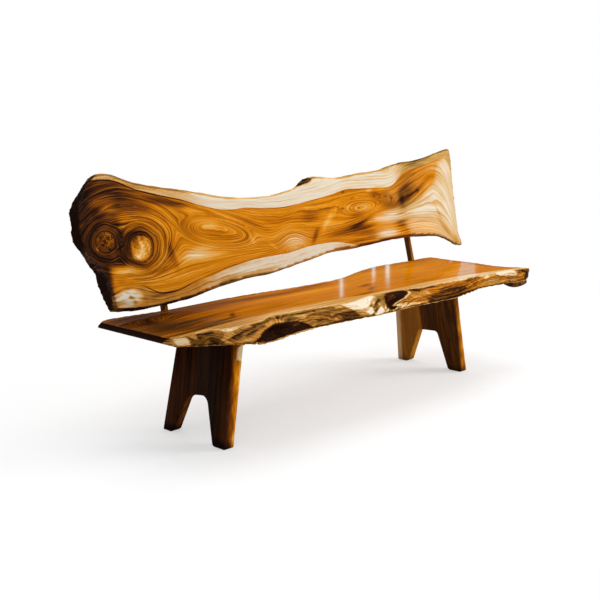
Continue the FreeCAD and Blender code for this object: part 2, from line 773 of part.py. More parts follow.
def make_bracket_screws(word):
    steps = ("bracket_screw_near", "bracket_screw_far")
    spots = [
        upward(post_x(word), f"{BEND_Y} - {step}", f"{UNDERSIDE} - bracket_thickness")
        for step in steps
    ]
    spots += [
        rearward_on_back(post_x(word), "-bracket_thickness", f"-{BEND_DOWN} - {step}")
        for step in steps
    ]
    return fastened(f"{word}_bracket_screws", "plate_screw", spots)


def make_seat_blank():
    """The seat slab before joinery, its top face level with the sheet's seat height."""
    flare = number("seat_rear_flare / seat_depth")
    rear = [(x, y, x, y + flare) for x, y in SEAT_REAR_SHARES]
    sides = [rear[:-1], [rear[-1]] + SEAT_RIGHT_SHARES, SEAT_FRONT_SHARES[:-1]]
    sides.append([SEAT_FRONT_SHARES[-1]])
    blank = document.addObject("Part::Feature", "seat_blank")
    blank.Shape = slab_shape(
        sides,
        SEAT_SECTION_SHARES,
        number("seat_length"),
        number("seat_depth"),
        number("-seat_thickness"),
    )
    return place(blank, x="seat_offset", z="seat_height")


def make_burl():
    burl = ellipsoid("burl", "burl_length", "burl_reach", "burl_drop")
    return place(
        burl,
        x="seat_offset + seat_length / 2 - burl_inset",
        y=f"{FRONT_LINE} - burl_back",
        z=f"{UNDERSIDE} + burl_drop / 4",
    )


def make_hollows():
    """Two natural hollows in the front live edge."""
    hollow = ellipsoid("hollow", "hollow_length", "hollow_reach", "hollow_rise")
    place(
        hollow,
        "seat_offset + hollow_place",
        f"{FRONT_LINE} - hollow_ahead",
        f"{UNDERSIDE} + hollow_up",
    )
    pocket = ellipsoid("bark_pocket", "pocket_length", "pocket_reach", "pocket_rise")
    place(
        pocket,
        "seat_offset + pocket_place",
        f"{FRONT_LINE} - pocket_ahead",
        "seat_height - pocket_down",
    )
    return group("natural_hollows", [hollow, pocket])


def make_back_blank():
    """The back slab before its holes, its rear face on the posts' front face."""
    sides = [BACK_TOP_SHARES[:-1], [BACK_TOP_SHARES[-1]] + BACK_RIGHT_SHARES]
    sides += [BACK_BOTTOM_SHARES[:-1], [BACK_BOTTOM_SHARES[-1]] + BACK_LEFT_SHARES]
    blank = document.addObject("Part::Feature", "back_blank")
    blank.Shape = slab_shape(
        sides,
        BACK_SECTION_SHARES,
        number("back_length"),
        number("back_height"),
        number("-back_thickness"),
    )
    turn(blank, Vector(1, 0, 0), "90 - back_lean")
    return place_on_back(blank, "back_offset", "-back_thickness", "0")


nodes = {}
seat_tools = []
back_holes = []
for word, side in (("left", -1), ("right", 1)):
    front_blank, rear_blank = make_leg(word, side)
    dowels, dowel_holes = make_dowels(word, side)
    cleat_blank = make_cleat(word, side)
    (seat_screws, seat_screw_holes), (leg_screws, leg_screw_holes) = make_cleat_screws(word, side)
    post_blank = make_post(word)
    bolts, washers, bolt_holes = make_bolts(word)
    post_screws, post_screw_holes = make_post_seat_screws(word)
    bracket_blank = make_bracket(word)
    bracket_screws, bracket_screw_holes = make_bracket_screws(word)
    leg_holes = [dowel_holes, leg_screw_holes]
    post_holes = [bolt_holes, post_screw_holes, bracket_screw_holes]
    nodes[f"{word}_leg_front_board"] = cut(f"{word}_front_board", front_blank, *leg_holes)
    nodes[f"{word}_leg_rear_board"] = cut(f"{word}_rear_board", rear_blank, *leg_holes)
    nodes[f"{word}_leg_dowels"] = dowels
    nodes[f"{word}_cleat"] = cut(
        f"{word}_cleat", cleat_blank, seat_screw_holes, leg_screw_holes
    )
    nodes[f"{word}_cleat_seat_screws"] = seat_screws
    nodes[f"{word}_cleat_leg_screws"] = leg_screws
    nodes[f"{word}_post"] = cut(f"{word}_post", post_blank, *post_holes)
    nodes[f"{word}_post_seat_screws"] = post_screws
    nodes[f"{word}_post_back_bolts"] = bolts
    nodes[f"{word}_post_washers"] = washers
    nodes[f"{word}_post_bracket"] = cut(
        f"{word}_bracket", bracket_blank, bracket_screw_holes
    )
    nodes[f"{word}_bracket_screws"] = bracket_screws
    seat_tools.append(make_housing(word, side))
    seat_tools.append(make_end_bevel(word, side))
    seat_tools.append(make_notch(word))
    seat_tools += [seat_screw_holes, post_screw_holes, bracket_screw_holes]
    back_holes.append(bolt_holes)

seat_shaped = document.addObject("Part::Fuse", "seat_with_burl")
seat_shaped.Base = cut("seat_ends", make_seat_blank(), *seat_tools)
seat_shaped.Tool = make_burl()
nodes["seat_slab"] = cut("seat_slab", seat_shaped, make_hollows())
nodes["back_slab"] = cut("back_slab", make_back_blank(), *back_holes)

document.recompute()

for thing in document.Objects:
    if "Invalid" in thing.State or "Error" in thing.State:
        raise RuntimeError(f"{thing.Name} failed: {thing.State}")

os.makedirs("parts", exist_ok=True)
for name, thing in nodes.items():
    thing.Label = name
    shape = thing.Shape
    if shape.isNull() or not shape.isValid() or not shape.Solids:
        raise RuntimeError(f"{name} has no sound shape")
    box = shape.BoundBox
    print(
        f"{name}: {len(shape.Solids)} solids, {shape.Volume / 1000:.1f} cm3,",
        f"x {box.XMin:.1f} to {box.XMax:.1f}, y {box.YMin:.1f} to {box.YMax:.1f},",
        f"z {box.ZMin:.1f} to {box.ZMax:.1f}",
    )
    shape.exportStep(f"parts/{name}.step")
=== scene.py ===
"""Looks of a live-edge slab bench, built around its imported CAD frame."""

import math

import bpy
import numpy as np
from bpy.props import FloatProperty, FloatVectorProperty, PointerProperty
from mathutils import Matrix, Vector


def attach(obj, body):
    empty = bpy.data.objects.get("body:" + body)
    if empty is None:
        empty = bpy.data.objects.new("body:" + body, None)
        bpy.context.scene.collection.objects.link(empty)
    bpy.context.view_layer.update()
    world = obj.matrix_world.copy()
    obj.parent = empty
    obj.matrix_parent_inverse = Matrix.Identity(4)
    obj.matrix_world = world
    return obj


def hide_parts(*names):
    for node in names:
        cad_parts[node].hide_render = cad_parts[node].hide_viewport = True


bl_info = {
    "name": "Live-edge slab bench",
    "version": (1, 0, 0),
    "blender": (4, 5, 0),
    "location": "View3D > Sidebar > Bench",
    "description": "Models and finishes a live-edge slab bench around its CAD frame",
    "category": "Object",
}

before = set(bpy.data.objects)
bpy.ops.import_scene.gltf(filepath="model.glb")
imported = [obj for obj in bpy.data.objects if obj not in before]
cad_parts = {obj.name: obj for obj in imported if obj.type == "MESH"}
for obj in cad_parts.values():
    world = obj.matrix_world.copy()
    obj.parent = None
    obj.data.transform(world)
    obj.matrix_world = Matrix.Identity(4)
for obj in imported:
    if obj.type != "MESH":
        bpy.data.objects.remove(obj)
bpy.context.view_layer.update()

MM = 0.001
LEAN = math.radians(12.63)  # of the back, from upright
SPLAY = math.radians(10.26)  # of the legs, from upright
BACK_FOOT = Vector((0, 0.228, 0.45))  # where the posts' front plane meets the seat top
BACK_REAR = BACK_FOOT.y / MM
BACK_FRONT = BACK_REAR - 45  # the back slab, stood upright, is 45 mm thick
SEAT_TOP, SEAT_THICK = 450.0, 48.0
EDGE_GIRTH = 62.0  # of the seat's front live edge, from its top to its foot
SHARP_ANGLE, SMOOTH_ANGLE = 35, 32  # degrees: edges to bevel, and edges to shade smooth
FACE_SNAP = 1.3  # how near a sawn face, in mm, a remeshed point is put back on it
RIM_CELL = 8  # mm: the step along a slab at which its rim is taken


def linear(code):
    """A colour code as linear red, green and blue."""
    parts = [int(code[i : i + 2], 16) / 255 for i in (1, 3, 5)]
    return [p / 12.92 if p <= 0.04045 else ((p + 0.055) / 1.055) ** 2.4 for p in parts]


# Settings


def colour(name, description, code):
    """A colour setting, from its code."""
    return FloatVectorProperty(
        name=name, description=description, default=linear(code), subtype="COLOR", min=0, max=1
    )


def length(name, description, default):
    """A length setting, in metres."""
    return FloatProperty(
        name=name, description=description, default=default, subtype="DISTANCE", unit="LENGTH"
    )


class BenchSizes(bpy.types.PropertyGroup):
    """Sizes that a user would change."""

    slab_cell: length("Slab cell", "Cell of the slabs' meshes", 0.006)
    fibre_relief: length("Fibre relief", "Depth of the fibres on the live edges", 0.0014)
    lump_relief: length("Lump relief", "Depth of the lumps on the live edges", 0.003)
    knot_relief: length("Knot relief", "Depth of the knots and cracks", 0.003)
    board_bevel: length("Board bevel", "Softening of the boards' sharp edges", 0.0012)


class BenchColours(bpy.types.PropertyGroup):
    """Colours of the wood, the fittings and the stage."""

    # The darkest colour serves dark grain, the bark, and the painted shade of the slabs' left ends
    # and of the holes.
    char: colour("Char", "Darkest wood, at ends and cavities", "#140A05")
    umber: colour("Umber", "Dark heartwood", "#43200A")
    brown: colour("Brown", "Brown heartwood", "#804408")
    amber: colour("Amber", "Amber heartwood", "#BA6C06")
    honey: colour("Honey", "Bright heartwood", "#D98C12")
    gold: colour("Gold", "Pale gold wood", "#DFB05C")
    cream: colour("Cream", "Palest wood", "#EBD9AE")
    straw: colour("Straw", "Yellow tone of sapwood", "#C69C58")
    milk: colour("Milk", "Palest sapwood", "#DAD1BD")
    tan: colour("Tan", "Middle tone of sapwood and bark side", "#8E692C")
    bark: colour("Bark", "Darkest tone of sapwood and bark side", "#1E1206")
    steel: colour("Steel", "Zinc-plated steel", "#C4C5C8")
    dowel: colour("Dowel", "Bare turned wood", "#D8B888")
    floor: colour("Floor", "Floor and backdrop", "#F4F4F4")


# Shader maths


class Val:
    """One socket of a node tree, so that shader maths is written as Python expressions."""

    def __init__(self, shader, socket):
        self.shader, self.socket = shader, socket

    def maths(self, operation, *others):
        values = dict(enumerate((self, *others)))
        return self.shader.node("ShaderNodeMath", {"operation": operation}, values)

    def __add__(self, other):
        return self.maths("ADD", other)

    def __sub__(self, other):
        return self.maths("SUBTRACT", other)

    def __rsub__(self, other):
        return self.shader.node("ShaderNodeMath", {"operation": "SUBTRACT"}, {0: other, 1: self})

    def __mul__(self, other):
        return self.maths("MULTIPLY", other)

    def __pow__(self, other):
        return self.maths("POWER", other)

    __radd__ = __add__
    __rmul__ = __mul__

    def ramp(self, low, high, to_low=0.0, to_high=1.0):
        """This value's soft step from low to high."""
        return self.shader.node(
            "ShaderNodeMapRange",
            {"interpolation_type": "SMOOTHSTEP"},
            {0: self, 1: low, 2: high, 3: to_low, 4: to_high},
        )

    def clamped(self):
        return self.shader.node("ShaderNodeClamp", {}, {0: self, 1: 0.0, 2: 1.0})


def new_shader(name):
    """The empty node tree of a new material."""
    return Shader(bpy.data.materials.new(name))


class Shader:
    """The node tree of a material or of the world."""

    def __init__(self, owner):
        owner.use_nodes = True
        self.owner, self.tree = owner, owner.node_tree
        self.tree.nodes.clear()

    def node(self, kind, settings=(), sockets=(), output=0):
        """Any node: its settings are set first, then its sockets get their values or links."""
        new = self.tree.nodes.new(kind)
        for key, value in dict(settings).items():
            if key == "stops":
                while len(new.color_ramp.elements) < len(value):
                    new.color_ramp.elements.new(0.5)
                for element, (place, shade) in zip(new.color_ramp.elements, value):
                    element.position = place
                    element.color = (*shade, 1)
            else:
                setattr(new, key, value)
        for key, value in dict(sockets).items():
            if isinstance(value, Val):
                self.tree.links.new(value.socket, new.inputs[key])
            else:
                new.inputs[key].default_value = value
        return Val(self, new.outputs[output]) if new.outputs else None

    def attribute(self, name):
        """A value painted on the piece's points."""
        return self.node("ShaderNodeAttribute", {"attribute_name": name}, output="Fac")

    def places(self, turn=(0, 0, 0)):
        """The piece's own x, y and z in metres, turned."""
        place = self.node("ShaderNodeTexCoord", output="Object")
        place = self.node("ShaderNodeMapping", {}, {"Vector": place, "Rotation": turn})
        return [self.node("ShaderNodeSeparateXYZ", {}, {0: place}, i) for i in range(3)]

    def noise(self, x, y, z, detail=2.0, rough=0.55):
        """Soft noise about 0, between about -0.5 and 0.5."""
        vector = self.node("ShaderNodeCombineXYZ", {}, {0: x, 1: y, 2: z})
        sockets = {"Vector": vector, "Scale": 1.0, "Detail": detail, "Roughness": rough}
        return self.node("ShaderNodeTexNoise", {}, sockets) - 0.5

    def mix(self, share, one, other):
        """Colour one, with that share of colour other."""
        sockets = {
            0: share,
            6: one if isinstance(one, Val) else (*one, 1),
            7: other if isinstance(other, Val) else (*other, 1),
        }
        return self.node("ShaderNodeMix", {"data_type": "RGBA"}, sockets, 2)

    def finish(self, base, rough, height=None, depth=0.0004, **constants):
        """The surface: colour, roughness, relief, and constants on the shader's other sockets."""
        sockets = {"Base Color": base, "Roughness": rough}
        sockets.update({key.replace("_", " "): value for key, value in constants.items()})
        if height is not None:
            bump = {"Height": height, "Distance": depth, "Strength": 0.6}
            sockets["Normal"] = self.node("ShaderNodeBump", {}, bump)
        surface = self.node("ShaderNodeBsdfPrincipled", {}, sockets)
        self.node("ShaderNodeOutputMaterial", {}, {"Surface": surface})
        return self.owner


# Varnish: the slabs' is glossy, and thin on raw wood. The boards' is satin.
GLOSS = {"Specular_IOR_Level": 0.0, "Coat_Roughness": 0.09}
GLOSS_COAT, RAW_COAT = 0.32, 0.03
SATIN = {"Specular_IOR_Level": 0.0, "Coat_Weight": 0.04, "Coat_Roughness": 0.25}
# The tones, from 0 to 1, at which wood takes each colour: heartwood, then sapwood or bark side.
HEART_STOPS = {
    "char": 0.0, "umber": 0.17, "brown": 0.36, "amber": 0.52, "honey": 0.66, "gold": 0.82,
    "cream": 1.0,
}  # fmt: skip
SAP_STOPS = {"bark": 0.1, "tan": 0.42, "straw": 0.62, "milk": 0.84}
# Layers of the slabs' figure: waves a metre along the bench, waves from one grain line to the
# next, waves a metre into the slab, detail and roughness.
SLAB_LAYERS = {
    "bend": (6, 0.6, 8, 3.0, 0.55),
    "broad": (2.4, 1.3, 6, 2.0, 0.55),
    "streak": (4.5, 5.5, 10, 3.0, 0.62),
    "fine": (16, 24, 40, 2.0, 0.6),
}


def wood_ramp(shader, tone, colours, places):
    """The colour of wood of that tone."""
    stops = [(place, getattr(colours, name)) for name, place in places.items()]
    return shader.node("ShaderNodeValToRGB", {"stops": stops}, {0: tone})


def slab_wood(name, colours):
    """Lacquered live-edge wood whose grain, tones and borders come from the slab's attributes."""
    s = new_shader(name)
    x = s.places()[0]
    grain, deep, calm = (s.attribute(name) for name in ("grain", "deep", "calm"))

    def layer(name, across):
        a, b, c, detail, rough = SLAB_LAYERS[name]
        return s.noise(x * a, across * b, deep * c, detail, rough)

    bend = layer("bend", grain)
    flow = grain + bend * 0.5
    broad, streak, fine = (layer(name, flow) for name in ("broad", "streak", "fine"))
    rings = (flow * 1.9).maths("FRACT")
    thin = (flow * 5.3 + broad * 1.5).maths("FRACT")
    strong = (s.noise(x * 2.6, flow * 0.9, 7.0, 1.0) * 2.2 + 0.45).clamped()
    lines = (rings**6.0) * strong * 0.34 + (thin**3.0) * (1 - strong * 0.6) * 0.16
    figure = broad * 0.30 + streak * 0.56 + fine * 0.22 - lines + 0.06
    sapline = s.attribute("sapline") + (streak * 5.0 + bend * 3.0)
    sap = sapline.ramp(-1.2, 1.2)
    inked = (sapline + 3.2).maths("ABSOLUTE").ramp(3.4, 1.0) * s.attribute("ink") * 0.42
    heart = s.attribute("heart") + figure * calm - inked
    outer = s.attribute("sapwood") + figure * calm * 0.86
    value = heart * (1 - sap) + outer * sap
    # Painted shade: where the end shade line is positive, on the slabs' left ends, the wood goes
    # near-black.
    char = (s.attribute("charline") + streak * 14.0 + broad * 10.0).ramp(-2.0, 2.0)
    value = value * (1 - char) + (fine * 0.10 + streak * 0.10 + 0.02) * char
    milk = s.attribute("milk") * (1 - sap) + s.attribute("sapmilk") * sap
    milk = (milk * (1 - char) + streak * milk * 1.6).clamped()
    base = wood_ramp(s, value, colours, HEART_STOPS)
    base = s.mix(milk, base, wood_ramp(s, value, colours, SAP_STOPS))
    rough = (0.40 - value * 0.1).clamped()
    raw = (s.attribute("raw") + char).clamped()
    coat = raw * (RAW_COAT - GLOSS_COAT) + GLOSS_COAT
    return s.finish(base, rough, streak * 0.4 + fine, 0.0006, Coat_Weight=coat, **GLOSS)


def board_wood(name, colours, turn, tone, contrast, seed, painted_light_and_chips=(), tan=0.0):
    """Lacquered board wood with its grain along the board's own length, and painted light on its
    sides, with one pale chip.
    """
    s = new_shader(name)
    x, y, z = s.places(turn=turn)
    bend = s.noise(x * 2 + seed, y * 5, z * 2.2, 2.0)
    flow_y, flow_x = y + bend * 0.035, x + bend * 0.02
    broad = s.noise(flow_x * 14, flow_y * 16 + seed, z * 1.6, 2.0)
    streak = s.noise(flow_x * 60, flow_y * 70, z * 3.2 + seed, 3.0, 0.6)
    fine = s.noise(flow_x * 260, flow_y * 300, z * 14, 2.0, 0.6)
    rings = (flow_y * 75 + flow_x * 30).maths("FRACT")
    figure = broad * 0.40 + streak * 0.50 + fine * 0.2 - (rings**4.0) * 0.09
    value = figure * contrast + tone
    mottle = s.noise(x * 45, y * 45, z * 14 + seed, 2.0)
    white = []
    # Painted light: each row makes the wood paler on lit sides, darker at the feet as painted
    # shade, and mixes in cream as a painted highlight; one row is a pale sapwood chip.
    for more, whiter, *limits in painted_light_and_chips:
        share = 1.0
        for (a, b, c), start, end in limits:
            share = (x * a + y * b + z * c + mottle * 0.014).ramp(start, end) * share
        value = value + share * (mottle * 1.3 + 1.0) * more
        if whiter:
            white.append(share * whiter)
    base = wood_ramp(s, value, colours, HEART_STOPS)
    if tan:
        base = s.mix((mottle * 0.2 + tan).clamped(), base, colours.tan)
    if white:
        base = s.mix(sum(white[1:], white[0]).clamped(), base, colours.cream)
    rough = (0.46 - value * 0.1).clamped()
    return s.finish(base, rough, streak * 0.4 + fine, 0.0005, **SATIN)


def darker(shade):
    """The darker tone that a colour is mottled with."""
    return [part * 0.6 for part in shade]


def plain_steel(name, colours):
    """Zinc-plated steel with faint spangles and scratches."""
    s = new_shader(name)
    x, y, z = s.places()
    spangle = s.noise(x * 160, y * 160, z * 160, 2.0)
    scratch = s.noise(x * 900, y * 60, z * 900, 1.0)
    base = s.mix((spangle + 0.5).clamped(), colours.steel, darker(colours.steel))
    return s.finish(base, (0.34 + spangle * 0.3).clamped(), scratch, 0.0001, Metallic=1.0)


def dowel_wood(name, colours):
    """Bare turned wood, streaked along its length."""
    s = new_shader(name)
    x, y, z = s.places()
    streak = s.noise(x * 900, y * 40, z * 900, 2.0)
    base = s.mix((streak + 0.5).clamped(), colours.dowel, darker(colours.dowel))
    return s.finish(base, 0.6, streak, 0.0002)


# Mesh helpers


def deselect():
    """Leave edit mode with nothing selected."""
    if bpy.context.object and bpy.context.object.mode != "OBJECT":
        bpy.ops.object.mode_set(mode="OBJECT")
    bpy.ops.object.select_all(action="DESELECT")


def pick(piece):
    """Select a piece alone and make it the active one."""
    deselect()
    piece.select_set(True)
    bpy.context.view_layer.objects.active = piece


def copy_node(node, name):
    """A merged copy of a CAD node, as a piece of its own that stands for it."""
    pick(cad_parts[node])
    bpy.ops.object.duplicate(linked=False)
    piece = bpy.context.object
    piece.parent = None
    piece.name = piece.data.name = name
    for key in [k for k in piece.keys() if k.startswith("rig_")]:
        del piece[key]
    bpy.ops.object.mode_set(mode="EDIT")
    bpy.ops.mesh.select_all(action="SELECT")
    bpy.ops.mesh.remove_doubles(threshold=1e-5)
    bpy.ops.object.mode_set(mode="OBJECT")
    return piece


def apply_modifier(piece, kind, **settings):
    """Put a modifier on a piece and apply it."""
    pick(piece)
    modifier = piece.modifiers.new(kind.title(), kind)
    for key, value in settings.items():
        setattr(modifier, key, value)
    bpy.ops.object.modifier_apply(modifier=modifier.name)


def points(piece):
    """The mesh's vertices in millimetres."""
    co = np.empty(len(piece.data.vertices) * 3)
    piece.data.vertices.foreach_get("co", co)
    return co.reshape(-1, 3) / MM


def normals(piece):
    """The mesh's outward directions at its vertices."""
    out = np.empty(len(piece.data.vertices) * 3)
    piece.data.vertices.foreach_get("normal", out)
    return out.reshape(-1, 3)


def set_points(piece, co):
    """Move the mesh's vertices to places in millimetres."""
    piece.data.vertices.foreach_set("co", (co * MM).ravel())
    piece.data.update()


def turn_mesh(piece, matrix):
    """Turn a piece's mesh and leave its object where it is."""
    piece.data.transform(matrix)
    piece.data.update()


def stand_in(piece, material, node):
    """Give a finished piece its material, and put it in the place of its CAD node."""
    piece.data.materials.clear()
    piece.data.materials.append(material)
    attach(piece, "root")
    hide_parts(node)


def step(value, low, high):
    """A soft step of an array from 0 at low to 1 at high, whichever of them is the greater."""
    t = np.clip((value - low) / (high - low), 0, 1)
    return t * t * (3 - 2 * t)


def band(value, start, full, last, end):
    """1 from full to last, fading out softly to start below and to end above."""
    return step(value, start, full) * (1 - step(value, last, end))


def ripples(co, sizes, seed, waves=20):
    """A smooth random field of about unit size, from plane waves of about these lengths in mm."""
    rng = np.random.default_rng(seed)
    k = rng.normal(size=(waves, 3)) * (2 * math.pi / np.array(sizes))
    phase = rng.uniform(0, 2 * math.pi, waves)
    return np.sin(co @ k.T + phase).sum(1) * math.sqrt(2 / waves)


def smooth_line(x, places, heights):
    """A smooth curve through given points, level beyond its ends."""
    places, heights = np.asarray(places, float), np.asarray(heights, float)
    slope = np.gradient(heights, places)
    i = np.clip(np.searchsorted(places, x) - 1, 0, len(places) - 2)
    h = places[i + 1] - places[i]
    t = np.clip((x - places[i]) / h, 0, 1)
    rise = (1 + 2 * t) * (1 - t) ** 2 * heights[i] + t * t * (3 - 2 * t) * heights[i + 1]
    return rise + h * (t * (1 - t) ** 2 * slope[i] + t * t * (t - 1) * slope[i + 1])


def lumps(co, sizes, seed):
    """A smooth random field from 0 to 1."""
    return (0.5 + 0.5 * ripples(co, sizes, seed)).clip(0, 1)


def bell(value, middle, half, sharp=4):
    """1 where an array is at middle, fading out at about half to both sides of it."""
    return np.exp(-(np.abs((value - middle) / half) ** sharp))


def spots(a, b, rows, sharp=2.4):
    """Soft spots added up. A row is: middle a and b, radius a and b, turn in degrees, amount."""
    total = np.zeros_like(a)
    for ca, cb, ra, rb, turn, amount in rows:
        c, s = math.cos(math.radians(turn)), math.sin(math.radians(turn))
        da, db = a - ca, b - cb
        reach = ((c * da + s * db) / ra) ** 2 + ((c * db - s * da) / rb) ** 2
        total += amount * np.exp(-(reach ** (sharp / 2)))
    return total


def from_line(a, b, line):
    """The distance to a given line of points."""
    best = np.full_like(a, 1e9)
    for (a0, b0), (a1, b1) in zip(line, line[1:]):
        da, db = a1 - a0, b1 - b0
        t = np.clip(((a - a0) * da + (b - b0) * db) / (da * da + db * db), 0, 1)
        best = np.minimum(best, np.hypot(a - a0 - t * da, b - b0 - t * db))
    return best


def strokes(a, b, rows):
    """Soft strokes added up. A row is: points, half width, softness, amount."""
    total = np.zeros_like(a)
    for line, half, soft, amount in rows:
        total += amount * (1 - step(from_line(a, b, line), half, half + soft))
    return total


def patch(a, b, ring, soft):
    """1 inside a given ring of points, fading out over soft beyond it."""
    inside = np.zeros(len(a), bool)
    for (a0, b0), (a1, b1) in zip(ring, ring[1:] + ring[:1]):
        crosses = (b0 > b) != (b1 > b)
        inside ^= crosses & (a < (a1 - a0) * (b - b0) / (b1 - b0 + 1e-12) + a0)
    return np.where(inside, 1.0, 1 - step(from_line(a, b, ring + ring[:1]), 0, soft))


def rim(x, value, where, low):
    """For each x, the lowest (or highest) value there is at that x among the chosen points."""
    cell = np.round(x / RIM_CELL).astype(int)
    cell -= cell.min()
    best = np.full(cell.max() + 1, np.inf if low else -np.inf)
    keep = np.minimum if low else np.maximum
    keep.at(best, cell[where], value[where])
    known = np.isfinite(best)
    index = np.arange(len(best))
    best = np.interp(index, index[known], best[known])
    place = x / RIM_CELL - np.round(x / RIM_CELL).min()
    return np.interp(place, index, best)


def reliefs(sizes):
    """The depths of fibres, lumps and knots, in mm."""
    return sizes.fibre_relief / MM, sizes.lump_relief / MM, sizes.knot_relief / MM


def paint(piece, grain, deep, layers):
    """Write a slab's grain, depth and tones on its points."""
    for name, values in {"grain": grain, "deep": deep * MM, **layers}.items():
        layer = piece.data.attributes.new(name, "FLOAT", "POINT")
        layer.data.foreach_set("value", np.asarray(values, np.float32))


def remesh_slab(piece, cell, edge_faces, axis, planes):
    """An even mesh of small cells, with the faces that edge_faces picks cut in four, and the
    sawn faces flat on their planes across an axis."""
    apply_modifier(piece, "REMESH", mode="VOXEL", voxel_size=cell, adaptivity=0.0)
    co, no = points(piece), normals(piece)
    chosen = edge_faces(co, no)
    pick(piece)
    mesh = piece.data
    for flags in (mesh.polygons, mesh.edges, mesh.vertices):
        flags.foreach_set("select", [False] * len(flags))
    corner = np.empty(len(mesh.loops), int)
    mesh.loops.foreach_get("vertex_index", corner)
    starts = np.empty(len(mesh.polygons), int)
    mesh.polygons.foreach_get("loop_start", starts)
    all_in = np.minimum.reduceat(chosen[corner].astype(int), starts)
    mesh.polygons.foreach_set("select", all_in.astype(bool))
    bpy.ops.object.mode_set(mode="EDIT")
    bpy.context.tool_settings.mesh_select_mode = (False, False, True)
    bpy.ops.mesh.subdivide(number_cuts=1, smoothness=0.0)
    bpy.ops.mesh.vertices_smooth(factor=0.5, repeat=8)
    bpy.ops.object.mode_set(mode="OBJECT")
    co = points(piece)
    for plane in planes:
        co[np.abs(co[:, axis] - plane) < FACE_SNAP, axis] = plane
    set_points(piece, co)


def smooth(piece, angle=None):
    """Shade a piece smooth, all over or where faces meet at less than an angle in degrees."""
    pick(piece)
    if angle is None:
        bpy.ops.object.shade_smooth()
    else:
        bpy.ops.object.shade_smooth_by_angle(angle=math.radians(angle))


def soften(piece, width):
    """Round a sawn piece's sharp edges."""
    limit = {"limit_method": "ANGLE", "angle_limit": math.radians(SHARP_ANGLE)}
    apply_modifier(piece, "BEVEL", width=width, segments=2, **limit)
    smooth(piece, SMOOTH_ANGLE)


# The back slab

# In both slabs, places are in mm: x along the bench, u up the back's face, y to the rear. Tones
# run from 0, near-black, to 1, cream, and turns are in degrees.

# Grain lines of the back, from the bottom edge upwards: heights in mm at these places along it.
BACK_X = (
    -1075, -1000, -900, -800, -700, -600, -500, -400, -300, -200, -100, 0, 100, 200,
    300, 400, 500, 600, 700, 800, 860, 900, 930, 960, 990, 1020, 1050, 1075,
)  # fmt: skip
BACK_LINES = (
    (28, 28, 22, 20, 25, 32, 47, 60, 64, 68, 80, 95, 110, 112,
     111, 114, 118, 123, 122, 111, 98, 85, 65, 45, 25, 18, 15, 12),
    (60, 80, 104, 68, 62, 86, 104, 120, 126, 131, 133, 145, 148, 140,
     130, 128, 126, 128, 135, 127, 116, 105, 82, 58, 36, 28, 22, 18),
    (100, 110, 115, 100, 98, 114, 126, 134, 140, 141, 141, 149, 155, 152,
     150, 150, 152, 152, 155, 150, 138, 124, 98, 72, 46, 34, 26, 21),
    (130, 140, 150, 143, 143, 155, 156, 157, 155, 153, 152, 152, 158, 165,
     172, 180, 178, 172, 178, 170, 160, 146, 120, 90, 60, 40, 30, 24),
    (325, 360, 392, 375, 325, 222, 192, 180, 178, 165, 158, 157, 163, 172,
     181, 192, 192, 188, 193, 187, 178, 165, 145, 118, 80, 46, 34, 27),
    (345, 395, 410, 398, 360, 265, 235, 225, 215, 180, 185, 187, 186, 187,
     196, 208, 208, 203, 213, 216, 212, 202, 186, 160, 110, 56, 38, 30),
    (380, 430, 455, 440, 420, 390, 350, 302, 257, 217, 213, 218, 205, 206,
     213, 236, 246, 250, 257, 305, 335, 345, 330, 300, 230, 80, 45, 34),
    (430, 470, 480, 448, 421, 394, 356, 325, 305, 285, 280, 288, 286, 298,
     310, 316, 310, 318, 345, 380, 393, 400, 398, 390, 350, 180, 60, 38),
    (455, 490, 490, 452, 424, 396, 360, 337, 325, 307, 302, 312, 318, 328,
     340, 342, 335, 345, 385, 412, 425, 435, 436, 432, 420, 340, 110, 45),
    (480, 500, 498, 456, 427, 399, 364, 342, 340, 330, 325, 330, 341, 353,
     367, 363, 360, 362, 416, 430, 440, 450, 455, 462, 466, 460, 380, 70),
)  # fmt: skip
KNOT_RIGHT, KNOT_LEFT = (-838, 243), (-970, 280)
# The knots: middle, reach, rings, the direction in which they are squeezed and how much.
KNOTS = ((KNOT_RIGHT, 106, 6.4, 2.8, 0.24), (KNOT_LEFT, 84, 5.0, 0.6, 0.06))
KNOTS_OVAL = (-876, 258, 200, 118, 0, 2.5)  # in which both lie, as a spot of the grain
# Eyes in the grain: middle, reach behind, ahead and across, turn, rings, sharpness.
BACK_EYES = (
    ((-470, 256), 150, 190, 50, -15, 2.2, 2.8),
    ((-70, 138), 78, 74, 82, 0, -2.4, 1.3),
    ((375, 277), 96, 88, 27, 0, 2.6, 1.1),
    ((545, 285), 90, 60, 24, -8, 0.6, 1.1),
)
OUTER_GRAIN = 26  # mm: one grain line to the next beyond the outermost of them
EYE_TURN = 0.25  # how far an eye moves along the bench for each mm into the slab
